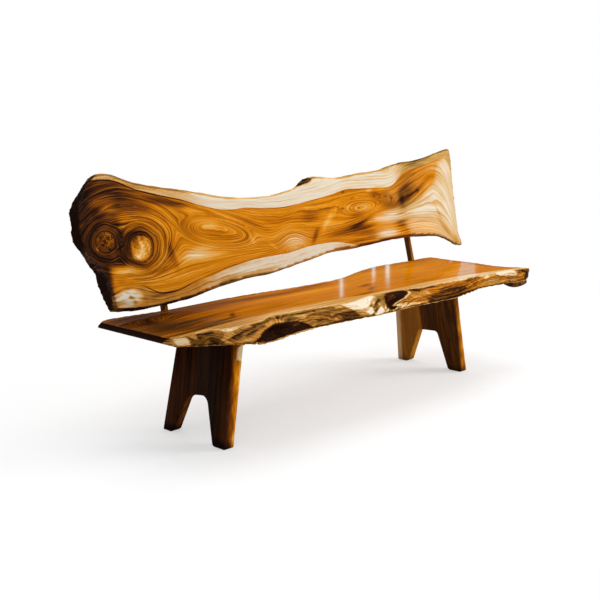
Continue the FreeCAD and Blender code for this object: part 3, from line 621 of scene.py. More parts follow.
# Spots of the back where the grain shows more strongly, then darker, paler and whiter ones. Among
# the paler and whiter ones are painted highlights on the knots and painted window reflections.
BACK_LIVELY = (
    (375, 278, 100, 40, 0, 0.8), (300, 195, 140, 34, 4, 0.8), (-70, 180, 90, 44, 0, 1.0),
    (-330, 225, 100, 60, -15, 0.6),
)  # fmt: skip
BACK_DARK = (
    (-890, 452, 120, 38, -6, -0.27), (-1020, 400, 45, 60, 0, -0.26),
    (-1035, 310, 34, 80, 0, -0.32), (-905, 395, 130, 20, -3, -0.12),
    (-700, 404, 85, 17, -13, -0.28), (-620, 383, 50, 10, -15, -0.20),
    (-1010, 225, 40, 30, 0, -0.34), (-930, 198, 52, 17, -6, -0.20),
    (-905, 250, 12, 40, 0, -0.26), (-860, 190, 38, 9, -22, -0.22),
    (-983, 145, 16, 42, 0, -0.30), (-690, 212, 22, 66, 8, -0.22), (-735, 150, 60, 8, 6, -0.10),
    (-600, 290, 62, 30, -42, -0.12), (-460, 252, 90, 22, -12, -0.12),
    (-760, 60, 70, 5, 3, -0.22), (-455, 64, 50, 7, 6, -0.36), (-300, 78, 130, 8, 2, -0.26),
    (-330, 112, 60, 7, 4, -0.05), (48, 268, 52, 22, 0, -0.17), (60, 185, 40, 12, 52, -0.24),
    (240, 186, 95, 18, 4, -0.24), (325, 203, 62, 12, 8, -0.40), (375, 219, 58, 7, 16, -0.28),
    (380, 190, 62, 7, 5, -0.34), (370, 165, 60, 6, 3, -0.22), (330, 246, 60, 12, 5, -0.14),
    (300, 132, 80, 8, 0, -0.16), (480, 325, 42, 20, -8, -0.26), (520, 285, 60, 16, -6, -0.12),
    (545, 318, 38, 20, 0, -0.18), (575, 275, 62, 24, 0, -0.15), (650, 292, 20, 36, 0, -0.22),
    (690, 312, 50, 34, 20, -0.14), (735, 325, 62, 26, 17, -0.17), (690, 350, 44, 14, 20, -0.16),
    (775, 324, 13, 10, 0, -0.16), (720, 398, 60, 12, 12, -0.12), (665, 275, 46, 40, 20, -0.10),
    (-800, 400, 130, 30, -12, -0.12), (730, 355, 120, 48, 17, -0.09),
    (-780, 330, 60, 60, -30, -0.08), (775, 450, 70, 14, 6, -0.20), (625, 190, 44, 7, 2, -0.40),
    (628, 172, 44, 6, 0, -0.40), (625, 226, 40, 5, 2, -0.22), (640, 150, 40, 7, 0, -0.14),
    (410, 152, 45, 22, 0, -0.10), (880, 384, 70, 18, 6, -0.14), (900, 210, 8, 40, 25, -0.14),
    (930, 130, 10, 70, 40, -0.16), (1000, 60, 16, 30, 20, -0.10), (870, 468, 60, 7, 12, -0.14),
    (355, 278, 7, 5, 0, -0.34), (252, 285, 12, 4, 10, -0.34), (585, 303, 8, 5, 0, -0.28),
    (272, 356, 9, 4, 0, -0.28), (-858, 290, 22, 11, 10, -0.44), (-872, 250, 10, 30, 0, -0.20),
    (-846, 258, 10, 18, 0, -0.18), (-842, 283, 38, 17, 0, -0.32), (690, 325, 90, 46, 17, -0.05),
)  # fmt: skip
BACK_PALE_AND_HIGHLIGHTS = (
    # Painted highlights: the glints on the knots, at (-848, 206), (-826, 280), (-1008, 258) and
    # (-994, 240).
    (-920, 168, 62, 13, -10, 0.22), (-965, 130, 18, 22, 0, 0.10), (-848, 206, 24, 14, 0, 0.29),
    (-818, 236, 12, 34, -8, 0.20), (-832, 218, 20, 13, 0, 0.14), (-826, 280, 7, 14, 0, 0.22),
    (-1008, 258, 6, 13, 10, 0.46), (-994, 240, 12, 6, -30, 0.24), (-956, 286, 20, 18, 0, 0.10),
    (-585, 191, 78, 22, 4, 0.24), (-676, 205, 9, 50, 14, 0.14), (-510, 174, 90, 13, 0, 0.20),
    (-500, 292, 50, 24, 0, 0.12), (-560, 352, 62, 9, -17, 0.17), (-700, 380, 60, 12, -20, 0.07),
    (-750, 100, 120, 14, 4, 0.06), (-292, 215, 10, 24, 20, 0.12), (-66, 172, 62, 34, 0, 0.20),
    (-186, 172, 26, 6, -38, 0.12), (172, 262, 14, 46, -38, 0.14), (130, 226, 12, 34, -38, 0.13),
    (208, 284, 7, 26, -35, 0.15), (292, 288, 34, 9, 0, 0.12), (375, 278, 66, 14, 0, 0.13),
    # Painted reflections: the window reflections at (545, 219) and (520, 145).
    (440, 350, 20, 6, 0, 0.22), (545, 219, 100, 17, 2, 0.24), (520, 145, 75, 15, 0, 0.32),
    (470, 222, 30, 10, 0, 0.10), (800, 232, 130, 24, 0, 0.17), (770, 150, 110, 26, -6, 0.09),
    (890, 300, 70, 34, 10, 0.10), (780, 160, 110, 16, -5, 0.08), (980, 230, 24, 110, 0, 0.07),
    (950, 210, 110, 150, 0, 0.05), (1020, 420, 50, 60, 0, 0.08), (1025, 240, 26, 150, 0, 0.03),
    (930, 400, 110, 26, 8, 0.04),
)  # fmt: skip
BACK_MILK_AND_REFLECTIONS = (
    # Painted reflections: the window reflections at (545, 219) and (505, 145).
    (545, 219, 95, 14, 2, 0.45), (505, 145, 80, 24, 0, 0.80), (800, 240, 130, 34, 0, 0.70),
    (780, 145, 140, 38, -6, -0.42), (700, 340, 140, 64, 17, 0.20), (590, 305, 60, 44, 0, 0.16),
    (890, 300, 70, 34, 10, 0.25), (978, 220, 20, 130, 0, 0.35), (960, 230, 120, 160, 0, 0.50),
    (1035, 250, 26, 170, 0, 0.25), (1020, 420, 50, 70, 0, 0.55), (960, 430, 120, 26, 8, 0.40),
    (-585, 191, 70, 18, 4, 0.30), (-18, 182, 24, 24, 0, 0.14), (-70, 178, 60, 26, 0, 0.26),
    (895, 385, 70, 20, 8, -0.30), (896, 215, 9, 60, 24, -0.40), (955, 130, 9, 80, 38, -0.40),
    (958, 330, 9, 50, 0, -0.30),
)  # fmt: skip
# The border of the left end that is painted near-black as painted shade, then the top of the pale
# wood along the bottom.
END_BORDER = (
    (-925, 545), (-950, 522), (-992, 500), (-1034, 450), (-1052, 400), (-1060, 345),
    (-1060, 300), (-1050, 245), (-1036, 200), (-1000, 170), (-988, 120), (-980, 80),
    (-978, 20),
)  # fmt: skip
BOTTOM_SAP = {
    "x": (-1075, -950, -850, -780, -700, -600, -500, -400, -250, -100, 0, 100, 200, 300, 1075),
    "top": (20, 95, 100, 64, 60, 84, 101, 119, 131, 133, 145, 148, 141, 118, 5),
}
# Outline of the pale wood at the back's right end.
PALE_END = [
    (440, 222), (560, 243), (700, 258), (850, 300), (925, 345), (945, 400), (990, 440),
    (1080, 470), (1080, -10), (940, 20), (700, 110), (650, 190), (560, 205), (440, 212),
]  # fmt: skip
LEFT_END = -730  # left of it the front face has a finer mesh, for the knots
END_RELIEF, CORNER_DROP = 2.4, 7  # mm: roughness of the ends, rounding of the bottom left corner
# Ring grooves of the back: middle, reach along and up, softness, share of the knots' relief.
BACK_GROOVES = (
    ((-915, 60), 70, 42, 0.14, 0.5),
    (KNOT_LEFT, 40, 40, 0.12, 1 / 6),
    (KNOT_RIGHT, 52, 52, 0.12, 1 / 6),
)
# Rings round the knots: which knot, middle and half width as shares of its reach, sharpness,
# tone, and how much livelier the grain is.
KNOT_RINGS = (
    (0, 0.56, 0.17, 4, -0.24, 0),
    (0, 0.92, 0.24, 4, -0.08, 0),
    (0, 0.74, 0.40, 4, 0, 1.1),
    (1, 0, 1.05, 6, -0.30, 1.2),
)
# The knots' hearts: reach, sharpness, tone, mottle, the mottle's size in mm and its seed.
KNOT_HEARTS = ((0.42, 6, 0.06, 0.05, (26, 34, 90), 45), (0.42, 4, -0.05, 0.08, (26, 26, 90), 47))
LOW_KNOB = (-915, 68, 60, 32, 0, 1)  # the pale knob at the back's bottom left, as a spot
KNOB_CRACK = ((-908, 70), (-896, 58), (-890, 44))
BARK_SPOT = (44, 434, 52, 24, 0, 1)  # where bark is left on the top edge, as a spot
BARK_GAP = (((8, 405), (45, 421), (88, 431)), 1, 3, 0.7)  # a stroke of bare wood through it
TOP_CRACKS = [(((20, 405), (45, 414)), 2, 5, 1), (((62, 423), (82, 428)), 2, 5, 1)]
# Between these depths, in mm, the pattern goes over to the rear face's own, moved by this much.
REAR_FROM, REAR_FULL, REAR_SHIFT = 22, 34, (45, -14)


def from_knot(place, knot):
    """The distance from a knot's middle, 1 at its reach."""
    (ca, cb), reach, _, swing, squeeze = knot
    da, db = place[:, 0] - ca, place[:, 1] - cb
    away = np.hypot(da, db) * (1 + 0.028 * ripples(place, (120, 120, 90), 41)) / reach
    away *= 1 + 0.010 * ripples(place, (44, 44, 90), 42)
    return away * (1 + squeeze * np.cos(np.arctan2(db, da) - swing))


def back_heart(x, u, place, dark):
    """The heartwood's tone, how whitish it is and how lively its grain is."""
    tone = 0.57 + dark + spots(x, u, BACK_PALE_AND_HIGHLIGHTS)
    tone -= 0.18 * step(-x, 770, 900) * step(u, 150, 230)
    tone += 0.03 * ripples(place, (140, 40, 80), 43) * step(-x, 760, 900)
    calm = 1 + 0.6 * step(-x, 740, 860) * step(u, 170, 240) + spots(x, u, BACK_LIVELY)
    calm -= 0.3 * step(x, 830, 930)
    aways = [from_knot(place, knot) for knot in KNOTS]
    for knot, middle, half, sharp, more, livelier in KNOT_RINGS:
        ring = bell(aways[knot], middle, half, sharp)
        tone, calm = tone + more * ring, calm + livelier * ring
    tone -= 0.14 * bell(aways[1], 1.15, 0.25) * step(-x, 880, 920)
    for away, (reach, sharp, more, mottle, sizes, seed) in zip(aways, KNOT_HEARTS):
        tone += bell(away, 0, reach, sharp) * (more + mottle * ripples(place, sizes, seed))
    pale_end = patch(x, u, PALE_END, 26) * step(x, 420, 600)
    return tone + 0.06 * pale_end, spots(x, u, BACK_MILK_AND_REFLECTIONS) + 0.66 * pale_end, calm


def top_sapwood(x, place, dark):
    """Tone and whitish share of the pale wood along the back's top."""
    middle, right = band(x, -640, -430, 600, 720), step(x, 600, 720)
    tone = 0.64 + 0.19 * middle - 0.05 * step(x, 230, 330) - 0.03 * right + dark * 0.7
    tone += 0.02 * ripples(place, (400, 20, 60), 48)
    return tone, 0.70 + 0.30 * np.maximum(middle, right)


def bottom_sapwood(x, u, place, dark, knob):
    """Tone and whitish share of the pale wood along the back's bottom."""
    middle = step(x, -640, -470)
    white = band(x, -480, -330, 120, 240)
    tone = 0.50 + 0.17 * middle + 0.13 * white + 0.34 * knob + dark
    tone += 0.07 * step(x, -220, -80)
    tone += (0.02 + 0.05 * knob) * ripples(place, (60, 24, 60), 49)
    tone -= 0.42 * knob * bell(from_line(x, u, KNOB_CRACK), 0, 8, 2)
    return tone, 0.40 + 0.45 * middle + 0.15 * white + 0.50 * knob


def back_grain(x, u, deep):
    """The back's grain field: the same along every grain line, one higher at the next."""
    lines = np.array([smooth_line(x, BACK_X, row) for row in BACK_LINES])
    lines = np.maximum.accumulate(lines + 3 * np.arange(len(lines))[:, None], axis=0)
    field = (u - lines[0]) / OUTER_GRAIN
    for low, high in zip(lines, lines[1:]):
        field += np.clip((u - low) / (high - low), 0, 1)
        field += (np.clip(u - high, 0, None) - np.clip(u - low, 0, None)) / OUTER_GRAIN
    turn = deep * EYE_TURN
    for (ca, cb), behind, ahead, across, angle, rings, sharp in BACK_EYES:
        c, s = math.cos(math.radians(angle)), math.sin(math.radians(angle))
        da, db = x + turn - ca, u - cb
        along, side = c * da + s * db, c * db - s * da
        reach = (along / np.where(along > 0, ahead, behind)) ** 2 + (side / across) ** 2
        field += rings * np.exp(-(reach**sharp)) * step(u - lines[1], -4, 10)
    field += spots(x, u, [KNOTS_OVAL], 4)
    place = np.c_[x, u, deep]
    for knot in KNOTS:
        away = from_knot(place, knot)
        field += knot[2] * np.clip(1 - away, 0, 0.62) ** 1.25
        field += 0.5 * bell(away, 0, 0.4) * ripples(place, (36, 30, 60), 50)
    return field


def paint_back(x, u, deep, normal, bottom):
    """The back's tones and borders at every point, from listed lines and spots."""
    x0, u0 = x, u
    behind = step(deep, REAR_FROM, REAR_FULL)
    x, u = x + behind * REAR_SHIFT[0], u + behind * REAR_SHIFT[1]
    place = np.c_[x, u, deep]
    dark = spots(x, u, BACK_DARK)
    knob = spots(x, u, [LOW_KNOB], 4)
    heart, milk, calm = back_heart(x, u, place, dark)

    upper = u - smooth_line(x, BACK_X, BACK_LINES[-1])
    low = smooth_line(x, BOTTOM_SAP["x"], BOTTOM_SAP["top"])
    lower = np.where(x < -980, -40, low - u)
    lower = np.minimum(lower, (300 - x) * 0.12)
    is_low = lower > upper
    tops, bottoms = top_sapwood(x, place, dark), bottom_sapwood(x, u, place, dark, knob)
    sapwood, sapmilk = (np.where(is_low, lows, highs) for lows, highs in zip(bottoms, tops))
    ink = 0.15 + step(-x, 480, 640) * 0.85
    ink = np.where(is_low, band(x, -870, -800, -760, -560) + 0.12, ink)

    # Painted shade: a dark line along the bottom rim and on faces turned downwards, where the live
    # edge turns under.
    underside_shade = bell(np.clip(u0 - bottom, 0, None), 0, 2.5, 2)
    underside_shade = np.maximum(underside_shade, step(-normal[:, 2], 0.1, 0.5))
    bark = spots(x0, u0, [BARK_SPOT], 6)
    bark -= strokes(x0, u0, [BARK_GAP]) * bark
    for tone in (heart, sapwood):
        tone -= 0.34 * underside_shade * (1 - 0.4 * knob) + 0.95 * bark
    sapmilk *= 1 - bark
    # Painted shade: faces turned upwards along the top edge are darker.
    sapwood -= 0.26 * step(normal[:, 2], 0.2, 0.7)

    # Painted shade: the left end inside its border goes near-black, and the wood darkens along
    # that border and on faces turned to the left.
    end = from_line(x0, u, END_BORDER)
    end_x, end_u = zip(*END_BORDER[::-1])
    inside = x0 < smooth_line(u, end_u, end_x)
    charline = np.where(inside, end, -end)
    heart -= 0.20 * bell(end, 0, 26, 2) + 0.25 * step(-normal[:, 0], 0.5, 0.8)
    sawn = step(normal[:, 0], 0.5, 0.8)
    heart = heart * (1 - sawn) + 0.62 * sawn
    return {
        "heart": np.clip(heart, 0.02, 1.0),
        "sapwood": np.clip(sapwood, 0.05, 1.0),
        "milk": np.clip(milk, 0, 1),
        "sapmilk": np.clip(sapmilk, 0, 1),
        "calm": np.clip(calm, 0.2, 2.4),
        "sapline": np.clip(np.maximum(upper, lower), -40, 40),
        "charline": np.clip(charline, -60, 60),
        "ink": ink,
        "raw": step(np.abs(normal[:, 2]), 0.2, 0.6),
    }


def sink_back(co, no, sizes, bottom):
    """How deep the back's surface lies below its plain shape, in mm, at every point."""
    x, u, deep = co[:, 0], co[:, 2] - SEAT_TOP, co[:, 1] - BACK_FRONT
    fibre, lump, knot = reliefs(sizes)
    flat = step(np.abs(no[:, 1]), 0.80, 0.98)
    live = (1 - flat) * step(np.abs(no[:, 2]), 0.2, 0.6)
    sink = live * lumps(co, (160, 12, 12), 11) * fibre * 0.5
    sink += live * lumps(co, (150, 40, 40), 12) * lump * 0.6
    end = step(-no[:, 0], 0.3, 0.8) + step(no[:, 0], 0.6, 0.9) * 0.2
    sink += end * lumps(co, (14, 16, 22), 13) * END_RELIEF

    rounding = step(-x, 860, 930) * step(100 - u, 0, 60)
    sink += (1 - step(deep, 0, 18)) * rounding * step(40 - (u - bottom), 0, 40) * CORNER_DROP
    for (cx, cu), across, up, soft, depth in BACK_GROOVES:
        ring = np.hypot((x - cx) / across, (u - cu) / up)
        sink += (deep < 4) * bell(ring, 1, soft, 2) * depth * knot
    return sink + (deep < 30) * strokes(x, u, TOP_CRACKS) * knot


def build_back(sizes):
    """The back slab, modelled upright and then leant."""
    back = copy_node("back_slab", "back_wood_slab")
    centre = Matrix.Translation(BACK_FOOT)
    upright = centre @ Matrix.Rotation(LEAN, 4, "X") @ centre.inverted()
    turn_mesh(back, upright)

    def edges(co, no):
        return (np.abs(no[:, 1]) < 0.85) | ((co[:, 0] < LEFT_END) & (co[:, 1] < BACK_FRONT + 8))

    remesh_slab(back, sizes.slab_cell, edges, 1, (BACK_FRONT, BACK_REAR))
    co, no = points(back), normals(back)
    x, u, deep = co[:, 0], co[:, 2] - SEAT_TOP, co[:, 1] - BACK_FRONT
    bottom = rim(x, u, deep < 0.5, True)
    co -= no * sink_back(co, no, sizes, bottom)[:, None]
    set_points(back, co)
    layers = paint_back(x, u, deep, normals(back), bottom)
    paint(back, back_grain(x, u, deep), deep, layers)
    turn_mesh(back, upright.inverted())
    smooth(back)
    return back


# The seat slab

SEAT_X = (-1020, -950, -850, -750, -650, -550, -450, -350, -250, -150, -50, 50, 150, 250,
          350, 450, 550, 650, 750, 845)  # fmt: skip
# Where the top's pale strip along the front begins: y in mm at those places.
SEAT_SAP = (-168, -158, -143, -134, -131, -128, -126, -127, -134, -146, -162, -171, -177, -183,
            -190, -197, -212, -235, -262, -285)  # fmt: skip
# Darker and paler spots of the seat's top.
SEAT_DARK = (
    (-960, 60, 160, 190, 0, -0.24), (-820, 150, 150, 60, -4, -0.14),
    (-850, -60, 140, 80, 0, -0.20), (-900, 205, 90, 18, -3, -0.08),
    (-920, 60, 40, 50, 0, -0.10), (-860, -18, 90, 12, 3, -0.14), (-740, 0, 110, 12, 4, -0.12),
    (-640, -45, 40, 10, 50, -0.20), (-700, -85, 70, 9, 8, -0.20),
    (-890, -143, 150, 9, 6, -0.30), (-760, -118, 90, 7, 4, -0.22),
    (-650, 130, 160, 60, -4, -0.12), (-350, 130, 260, 28, -8, -0.12),
    (-250, 112, 200, 10, -6, -0.06), (-420, -62, 80, 10, 4, -0.08),
    (-40, -150, 90, 9, 3, -0.20), (60, -95, 50, 14, 30, -0.16), (95, -28, 46, 18, 14, -0.18),
    (340, -68, 60, 8, 0, -0.08), (-60, 130, 120, 22, -3, -0.14), (160, 160, 80, 12, 6, -0.06),
    (330, -160, 110, 12, 4, -0.05), (800, -100, 24, 200, 0, -0.10),
    (720, 200, 60, 24, -6, -0.08),
)  # fmt: skip
SEAT_PALE = (
    (-400, 60, 260, 30, -5, 0.06), (-100, 45, 160, 34, -3, 0.09), (-550, -20, 120, 14, 2, 0.07),
    (350, -105, 60, 10, 0, 0.08), (380, 100, 300, 90, 4, 0.05), (620, -40, 180, 110, 0, 0.03),
    (-960, -190, 40, 18, 0, 0.14),
)  # fmt: skip
SEAT_KNOTS = ((-915, 60, 120, 60, 0, 0.8), (95, -30, 70, 26, 12, 1.2))
UNDER_SHIFT = 10  # mm: how far the underside's pattern is moved back from the top's
LEFT_END_RELIEF = 1.5  # mm: roughness of the seat's left end
HOLE_DEPTH = 1.6  # of the front edge's holes, as a share of the knots' relief
# How far the tip at the right front corner is pushed, in mm.
TIP_FOOT, TIP_NOSE, TIP_BELLY, BELLY_SAG, CORNER_LIFT = 16, 20, 24, 6, 4
# Holes in the front live edge, sunk and darkened with painted shade: their outline, along it and
# down it in mm, and softness.
EDGE_HOLES = (
    (((-752, 55), (-735, 45), (-715, 37), (-700, 29), (-680, 24), (-650, 20), (-620, 18),
      (-590, 19), (-560, 23), (-530, 25), (-500, 28), (-480, 36), (-466, 47), (-458, 62),
      (-620, 66), (-748, 66)), 4),
    (((-74, 38), (-50, 25), (-20, 12), (10, 6), (60, 3), (108, 5), (100, 11), (70, 17), (50, 25),
      (20, 35), (-20, 44), (-50, 49), (-68, 46)), 4),
)  # fmt: skip
# Strokes drawn over the holes: places, half width, softness, amount.
EDGE_OVER = (
    (((-705, 46), (-660, 43), (-630, 36)), 2, 5, 0.13),
    (((-600, 40), (-540, 46)), 1, 5, 0.10),
    (((-748, 60), (-720, 52)), 3, 4, 0.32),
    (((-640, 60), (-560, 58)), 2, 5, 0.08),
    (((-530, 34), (-500, 33)), 2, 4, 0.26),
    (((-92, 40), (-50, 29), (-10, 18), (30, 13)), 1.5, 4, 0.20),
    (((-10, 11), (50, 7), (100, 8)), 2, 4, 0.14),
)
# How pale and how white the live edge is along the bench.
EDGE_X = (-1020, -960, -860, -800, -700, -560, -450, -330, -240, -150, -60, 60, 150, 260, 380,
          480, 580, 680, 760, 845)  # fmt: skip
EDGE_BASE = (.27, .34, .31, .36, .35, .35, .37, .31, .32, .50, .34, .35, .35, .33, .33,
             .39, .45, .37, .29, .22)  # fmt: skip
EDGE_WHITE = (.60, .55, .45, .45, .45, .60, .60, .40, .45, .80, .80, .45, .25, .20, .20,
              .10, .35, .40, .25, .30)  # fmt: skip
# Patches of the live edge: outline, softness, how much paler, how much whiter.
EDGE_PATCHES = (
    (((-995, 4), (-968, 4), (-955, 15), (-936, 31), (-930, 46), (-926, 55), (-954, 57), (-960, 46),
      (-972, 31), (-988, 15)), 9, 0.52, -0.25),
    (((-925, 20), (-880, 12), (-845, 18), (-838, 40), (-845, 60), (-920, 60)), 10, -0.06, 0.0),
    (((-255, 4), (-150, 1), (-60, 3), (-75, 10), (-120, 17), (-150, 19), (-200, 23), (-240, 18)),
     5, 0.42, 0.35),
    (((-235, 22), (-200, 24), (-165, 28), (-170, 44), (-215, 50)), 8, 0.14, 0.20),
    (((-192, 40), (-165, 33), (-150, 28), (-158, 44), (-180, 50)), 3, 0.38, 0.35),
    (((-160, 56), (-130, 42), (-100, 33), (-108, 50), (-130, 58)), 3, 0.40, 0.40),
    (((-330, 28), (-250, 24), (-235, 40), (-240, 58), (-330, 58)), 10, -0.12, 0.0),
    (((150, 66), (158, 46), (200, 33), (260, 27), (330, 24), (380, 28), (420, 32), (370, 42),
      (345, 66)), 9, -0.24, 0.0),
    (((655, 0), (755, 0), (748, 14), (735, 21), (700, 21), (672, 13)), 4, 0.36, 0.60),
    (((775, 31), (802, 24), (800, 50), (782, 54)), 7, -0.16, 0.0),
)  # fmt: skip
# Strokes on it: places, half width, softness, how much paler, how much whiter.
EDGE_STROKES = (
    (((-1003, 6), (-990, 28), (-962, 59)), 2, 5, 0.10, 0.1),
    (((-950, 3), (-925, 12), (-905, 24)), 3, 6, 0.20, 0.2),
    (((-955, 8), (-935, 20), (-915, 34)), 1, 3, -0.22, 0.0),
    (((-905, 9), (-870, 12), (-845, 9)), 1.5, 4, -0.28, 0.0),
    (((-900, 21), (-893, 24)), 2, 4, -0.26, 0.0),
    (((-857, 37), (-852, 41)), 8, 6, -0.16, 0.0),
    (((-812, 4), (-785, 1), (-765, -2)), 4, 5, 0.26, 0.4),
    (((-828, 44), (-815, 25), (-795, 12)), 5, 7, 0.16, 0.1),
    (((-838, 50), (-815, 38), (-795, 28)), 1, 3, -0.18, 0.0),
    (((-800, 34), (-780, 27)), 4, 5, -0.20, 0.0),
    (((-790, 26), (-765, 17), (-735, 12), (-700, 8)), 1.2, 3, -0.26, 0.0),
    (((-760, 28), (-730, 20), (-695, 15), (-655, 12)), 1.2, 3, -0.24, 0.0),
    (((-825, 56), (-780, 48), (-740, 37), (-715, 26), (-690, 18), (-650, 13), (-600, 13),
      (-560, 17)), 3, 5, 0.16, 0.0),
    (((-700, 5), (-640, 5), (-580, 3)), 1.2, 3, -0.24, 0.0),
    (((-560, 8), (-500, 6), (-440, 8), (-380, 6), (-300, 7)), 1, 3, -0.26, 0.0),
    (((-540, 16), (-510, 20), (-480, 18)), 1, 4, -0.20, 0.0),
    (((-480, 12), (-440, 14), (-400, 11)), 2, 4, 0.18, 0.2),
    (((-445, 20), (-400, 14)), 1.5, 4, -0.16, -0.2),
    (((-380, 9), (-330, 8), (-270, 8)), 1.5, 3, 0.20, 0.3),
    (((-340, 26), (-290, 22), (-250, 19)), 1.5, 4, 0.20, 0.2),
    (((-420, 38), (-395, 34), (-375, 38)), 2, 4, -0.20, 0.0),
    (((-335, 42), (-315, 40)), 4, 5, 0.22, 0.0),
    (((-440, 56), (-380, 60), (-300, 58)), 3, 5, -0.22, 0.0),
    (((-150, 24), (-110, 14), (-70, 8)), 1.2, 3, -0.34, -0.2),
    (((-140, 30), (-100, 19), (-60, 13)), 1.2, 3, -0.30, -0.2),
    (((-120, 32), (-85, 22)), 1.2, 3, 0.20, 0.3),
    (((-150, 44), (-125, 34), (-105, 27)), 2, 4, -0.26, -0.2),
    (((-175, 54), (-160, 48)), 1.5, 3, -0.24, 0.0),
    (((-100, 54), (-84, 49)), 1.5, 3, 0.30, 0.2),
    (((-60, 54), (0, 43), (40, 34), (60, 26), (100, 13), (116, 9)), 1, 3, 0.36, 0.3),
    (((0, 53), (20, 51), (80, 50), (100, 51)), 2.5, 4, 0.36, 0.4),
    (((105, 51), (145, 50)), 3, 5, 0.16, 0.0),
    (((60, 40), (110, 38)), 6, 8, 0.04, -0.2),
    (((105, 22), (150, 22), (190, 17)), 4, 7, 0.14, 0.2),
    (((128, 0), (160, 5)), 4, 3, -0.50, -0.2),
    (((162, 6), (200, 4), (260, 3)), 1, 3, -0.30, 0.0),
    (((180, 14), (260, 12), (350, 14)), 5, 7, 0.08, -0.1),
    (((255, 18), (300, 14), (345, 13)), 1, 3, -0.16, 0.0),
    (((340, 25), (400, 27), (450, 24)), 1, 3, -0.18, 0.0),
    (((360, 38), (420, 41), (500, 38)), 1.5, 4, -0.18, 0.0),
    (((350, 55), (450, 57), (560, 60), (680, 60)), 3, 5, -0.26, 0.0),
    (((450, 8), (500, 6), (550, 5)), 2, 4, -0.20, 0.0),
    (((470, 20), (520, 14), (560, 10)), 1.5, 4, -0.20, 0.0),
    (((480, 28), (520, 24)), 1.5, 4, -0.16, 0.0),
    (((450, 46), (520, 42), (560, 38)), 4, 6, 0.06, 0.0),
    (((575, 16), (600, 8)), 3, 5, 0.16, 0.3),
    (((590, 34), (640, 30)), 7, 8, 0.05, 0.2),
    (((660, 44), (730, 40), (775, 34)), 4, 6, 0.08, -0.1),
    (((715, 48), (724, 50)), 5, 5, 0.16, 0.3),
    (((752, 24), (785, 22)), 4, 6, 0.14, 0.0),
    (((798, 8), (804, 31), (812, 60)), 2, 4, -0.30, 0.0),
    (((786, 4), (794, 14)), 2.5, 4, -0.20, 0.0),
    (((822, 6), (828, 28)), 5, 6, 0.14, 0.2),
    (((826, 36), (834, 56)), 2, 4, -0.20, 0.0),
)  # fmt: skip


def seat_grain(x, y, deep):
    """The seat's grain field, which runs along the bench and round the top's knots."""
    lip = smooth_line(x, SEAT_X, SEAT_SAP)
    share = np.clip((y - lip) / (230 - lip), -1, 2)
    wander = ripples(np.c_[x, y, deep], (900, 240, 400), 21, 12) * 9
    return (share * 330 + wander + deep * 0.9) / 24 + spots(x, y, SEAT_KNOTS, 2.2)


def edge_grain(x, down):
    """Grain on the front live edge: lines along it that swirl round its knots."""
    field = down * 4.2 + 0.25 * np.sin(x / 85) + 0.15 * np.sin(x / 31 + 2)
    field += 3.2 * bell(np.hypot((x + 857) / 60, (down - 0.58) / 0.75), 0, 1, 1.6)
    field += 2.4 * (1 - step(x, -880, -700)) * np.clip((x + 860) / 160, -1, 1)
    field -= 1.6 * band(x, -760, -640, -600, -470)
    field += 2.6 * band(x, -240, -120, 110, 200) * np.clip((x - 20) / 120, -1, 1)
    return field + 3.0 * step(x, 760, 830)


def paint_edge(co, x, down):
    """Tone, whitish share and holes of the seat's front live edge."""
    lip = bell(down, 0, 0.1, 2)
    tone = smooth_line(x, EDGE_X, EDGE_BASE) + 0.16 * lip
    # Painted shade: the edge darkens towards its foot, where it turns under, less at the right
    # end.
    tone -= (0.30 - 0.24 * step(x, 690, 750)) * step(down, 0.80, 1.0)
    tone += 0.03 * np.clip(ripples(co, (60, 12, 12), 35), -2, 2)
    white = smooth_line(x, EDGE_X, EDGE_WHITE) + 0.15 * lip
    down = down * EDGE_GIRTH
    for ring, soft, paler, whiter in EDGE_PATCHES:
        share = patch(x, down, ring, soft)
        tone, white = tone + share * paler, white + share * whiter
    for line, half, soft, paler, whiter in EDGE_STROKES:
        share = strokes(x, down, [(line, half, soft, 1)])
        tone, white = tone + share * paler, white + share * whiter
    holes = np.zeros_like(x)
    # Painted shade: inside the holes the tone drops to near-black.
    hole_shade = 0.04 * np.clip(ripples(co, (50, 14, 9), 36), 0, 2) - 0.10
    for ring, soft in EDGE_HOLES:
        hole = patch(x, down, ring, soft)
        tone, white, holes = tone * (1 - hole) + hole * hole_shade, white * (1 - hole), holes + hole
    return tone + strokes(x, down, EDGE_OVER), white, holes


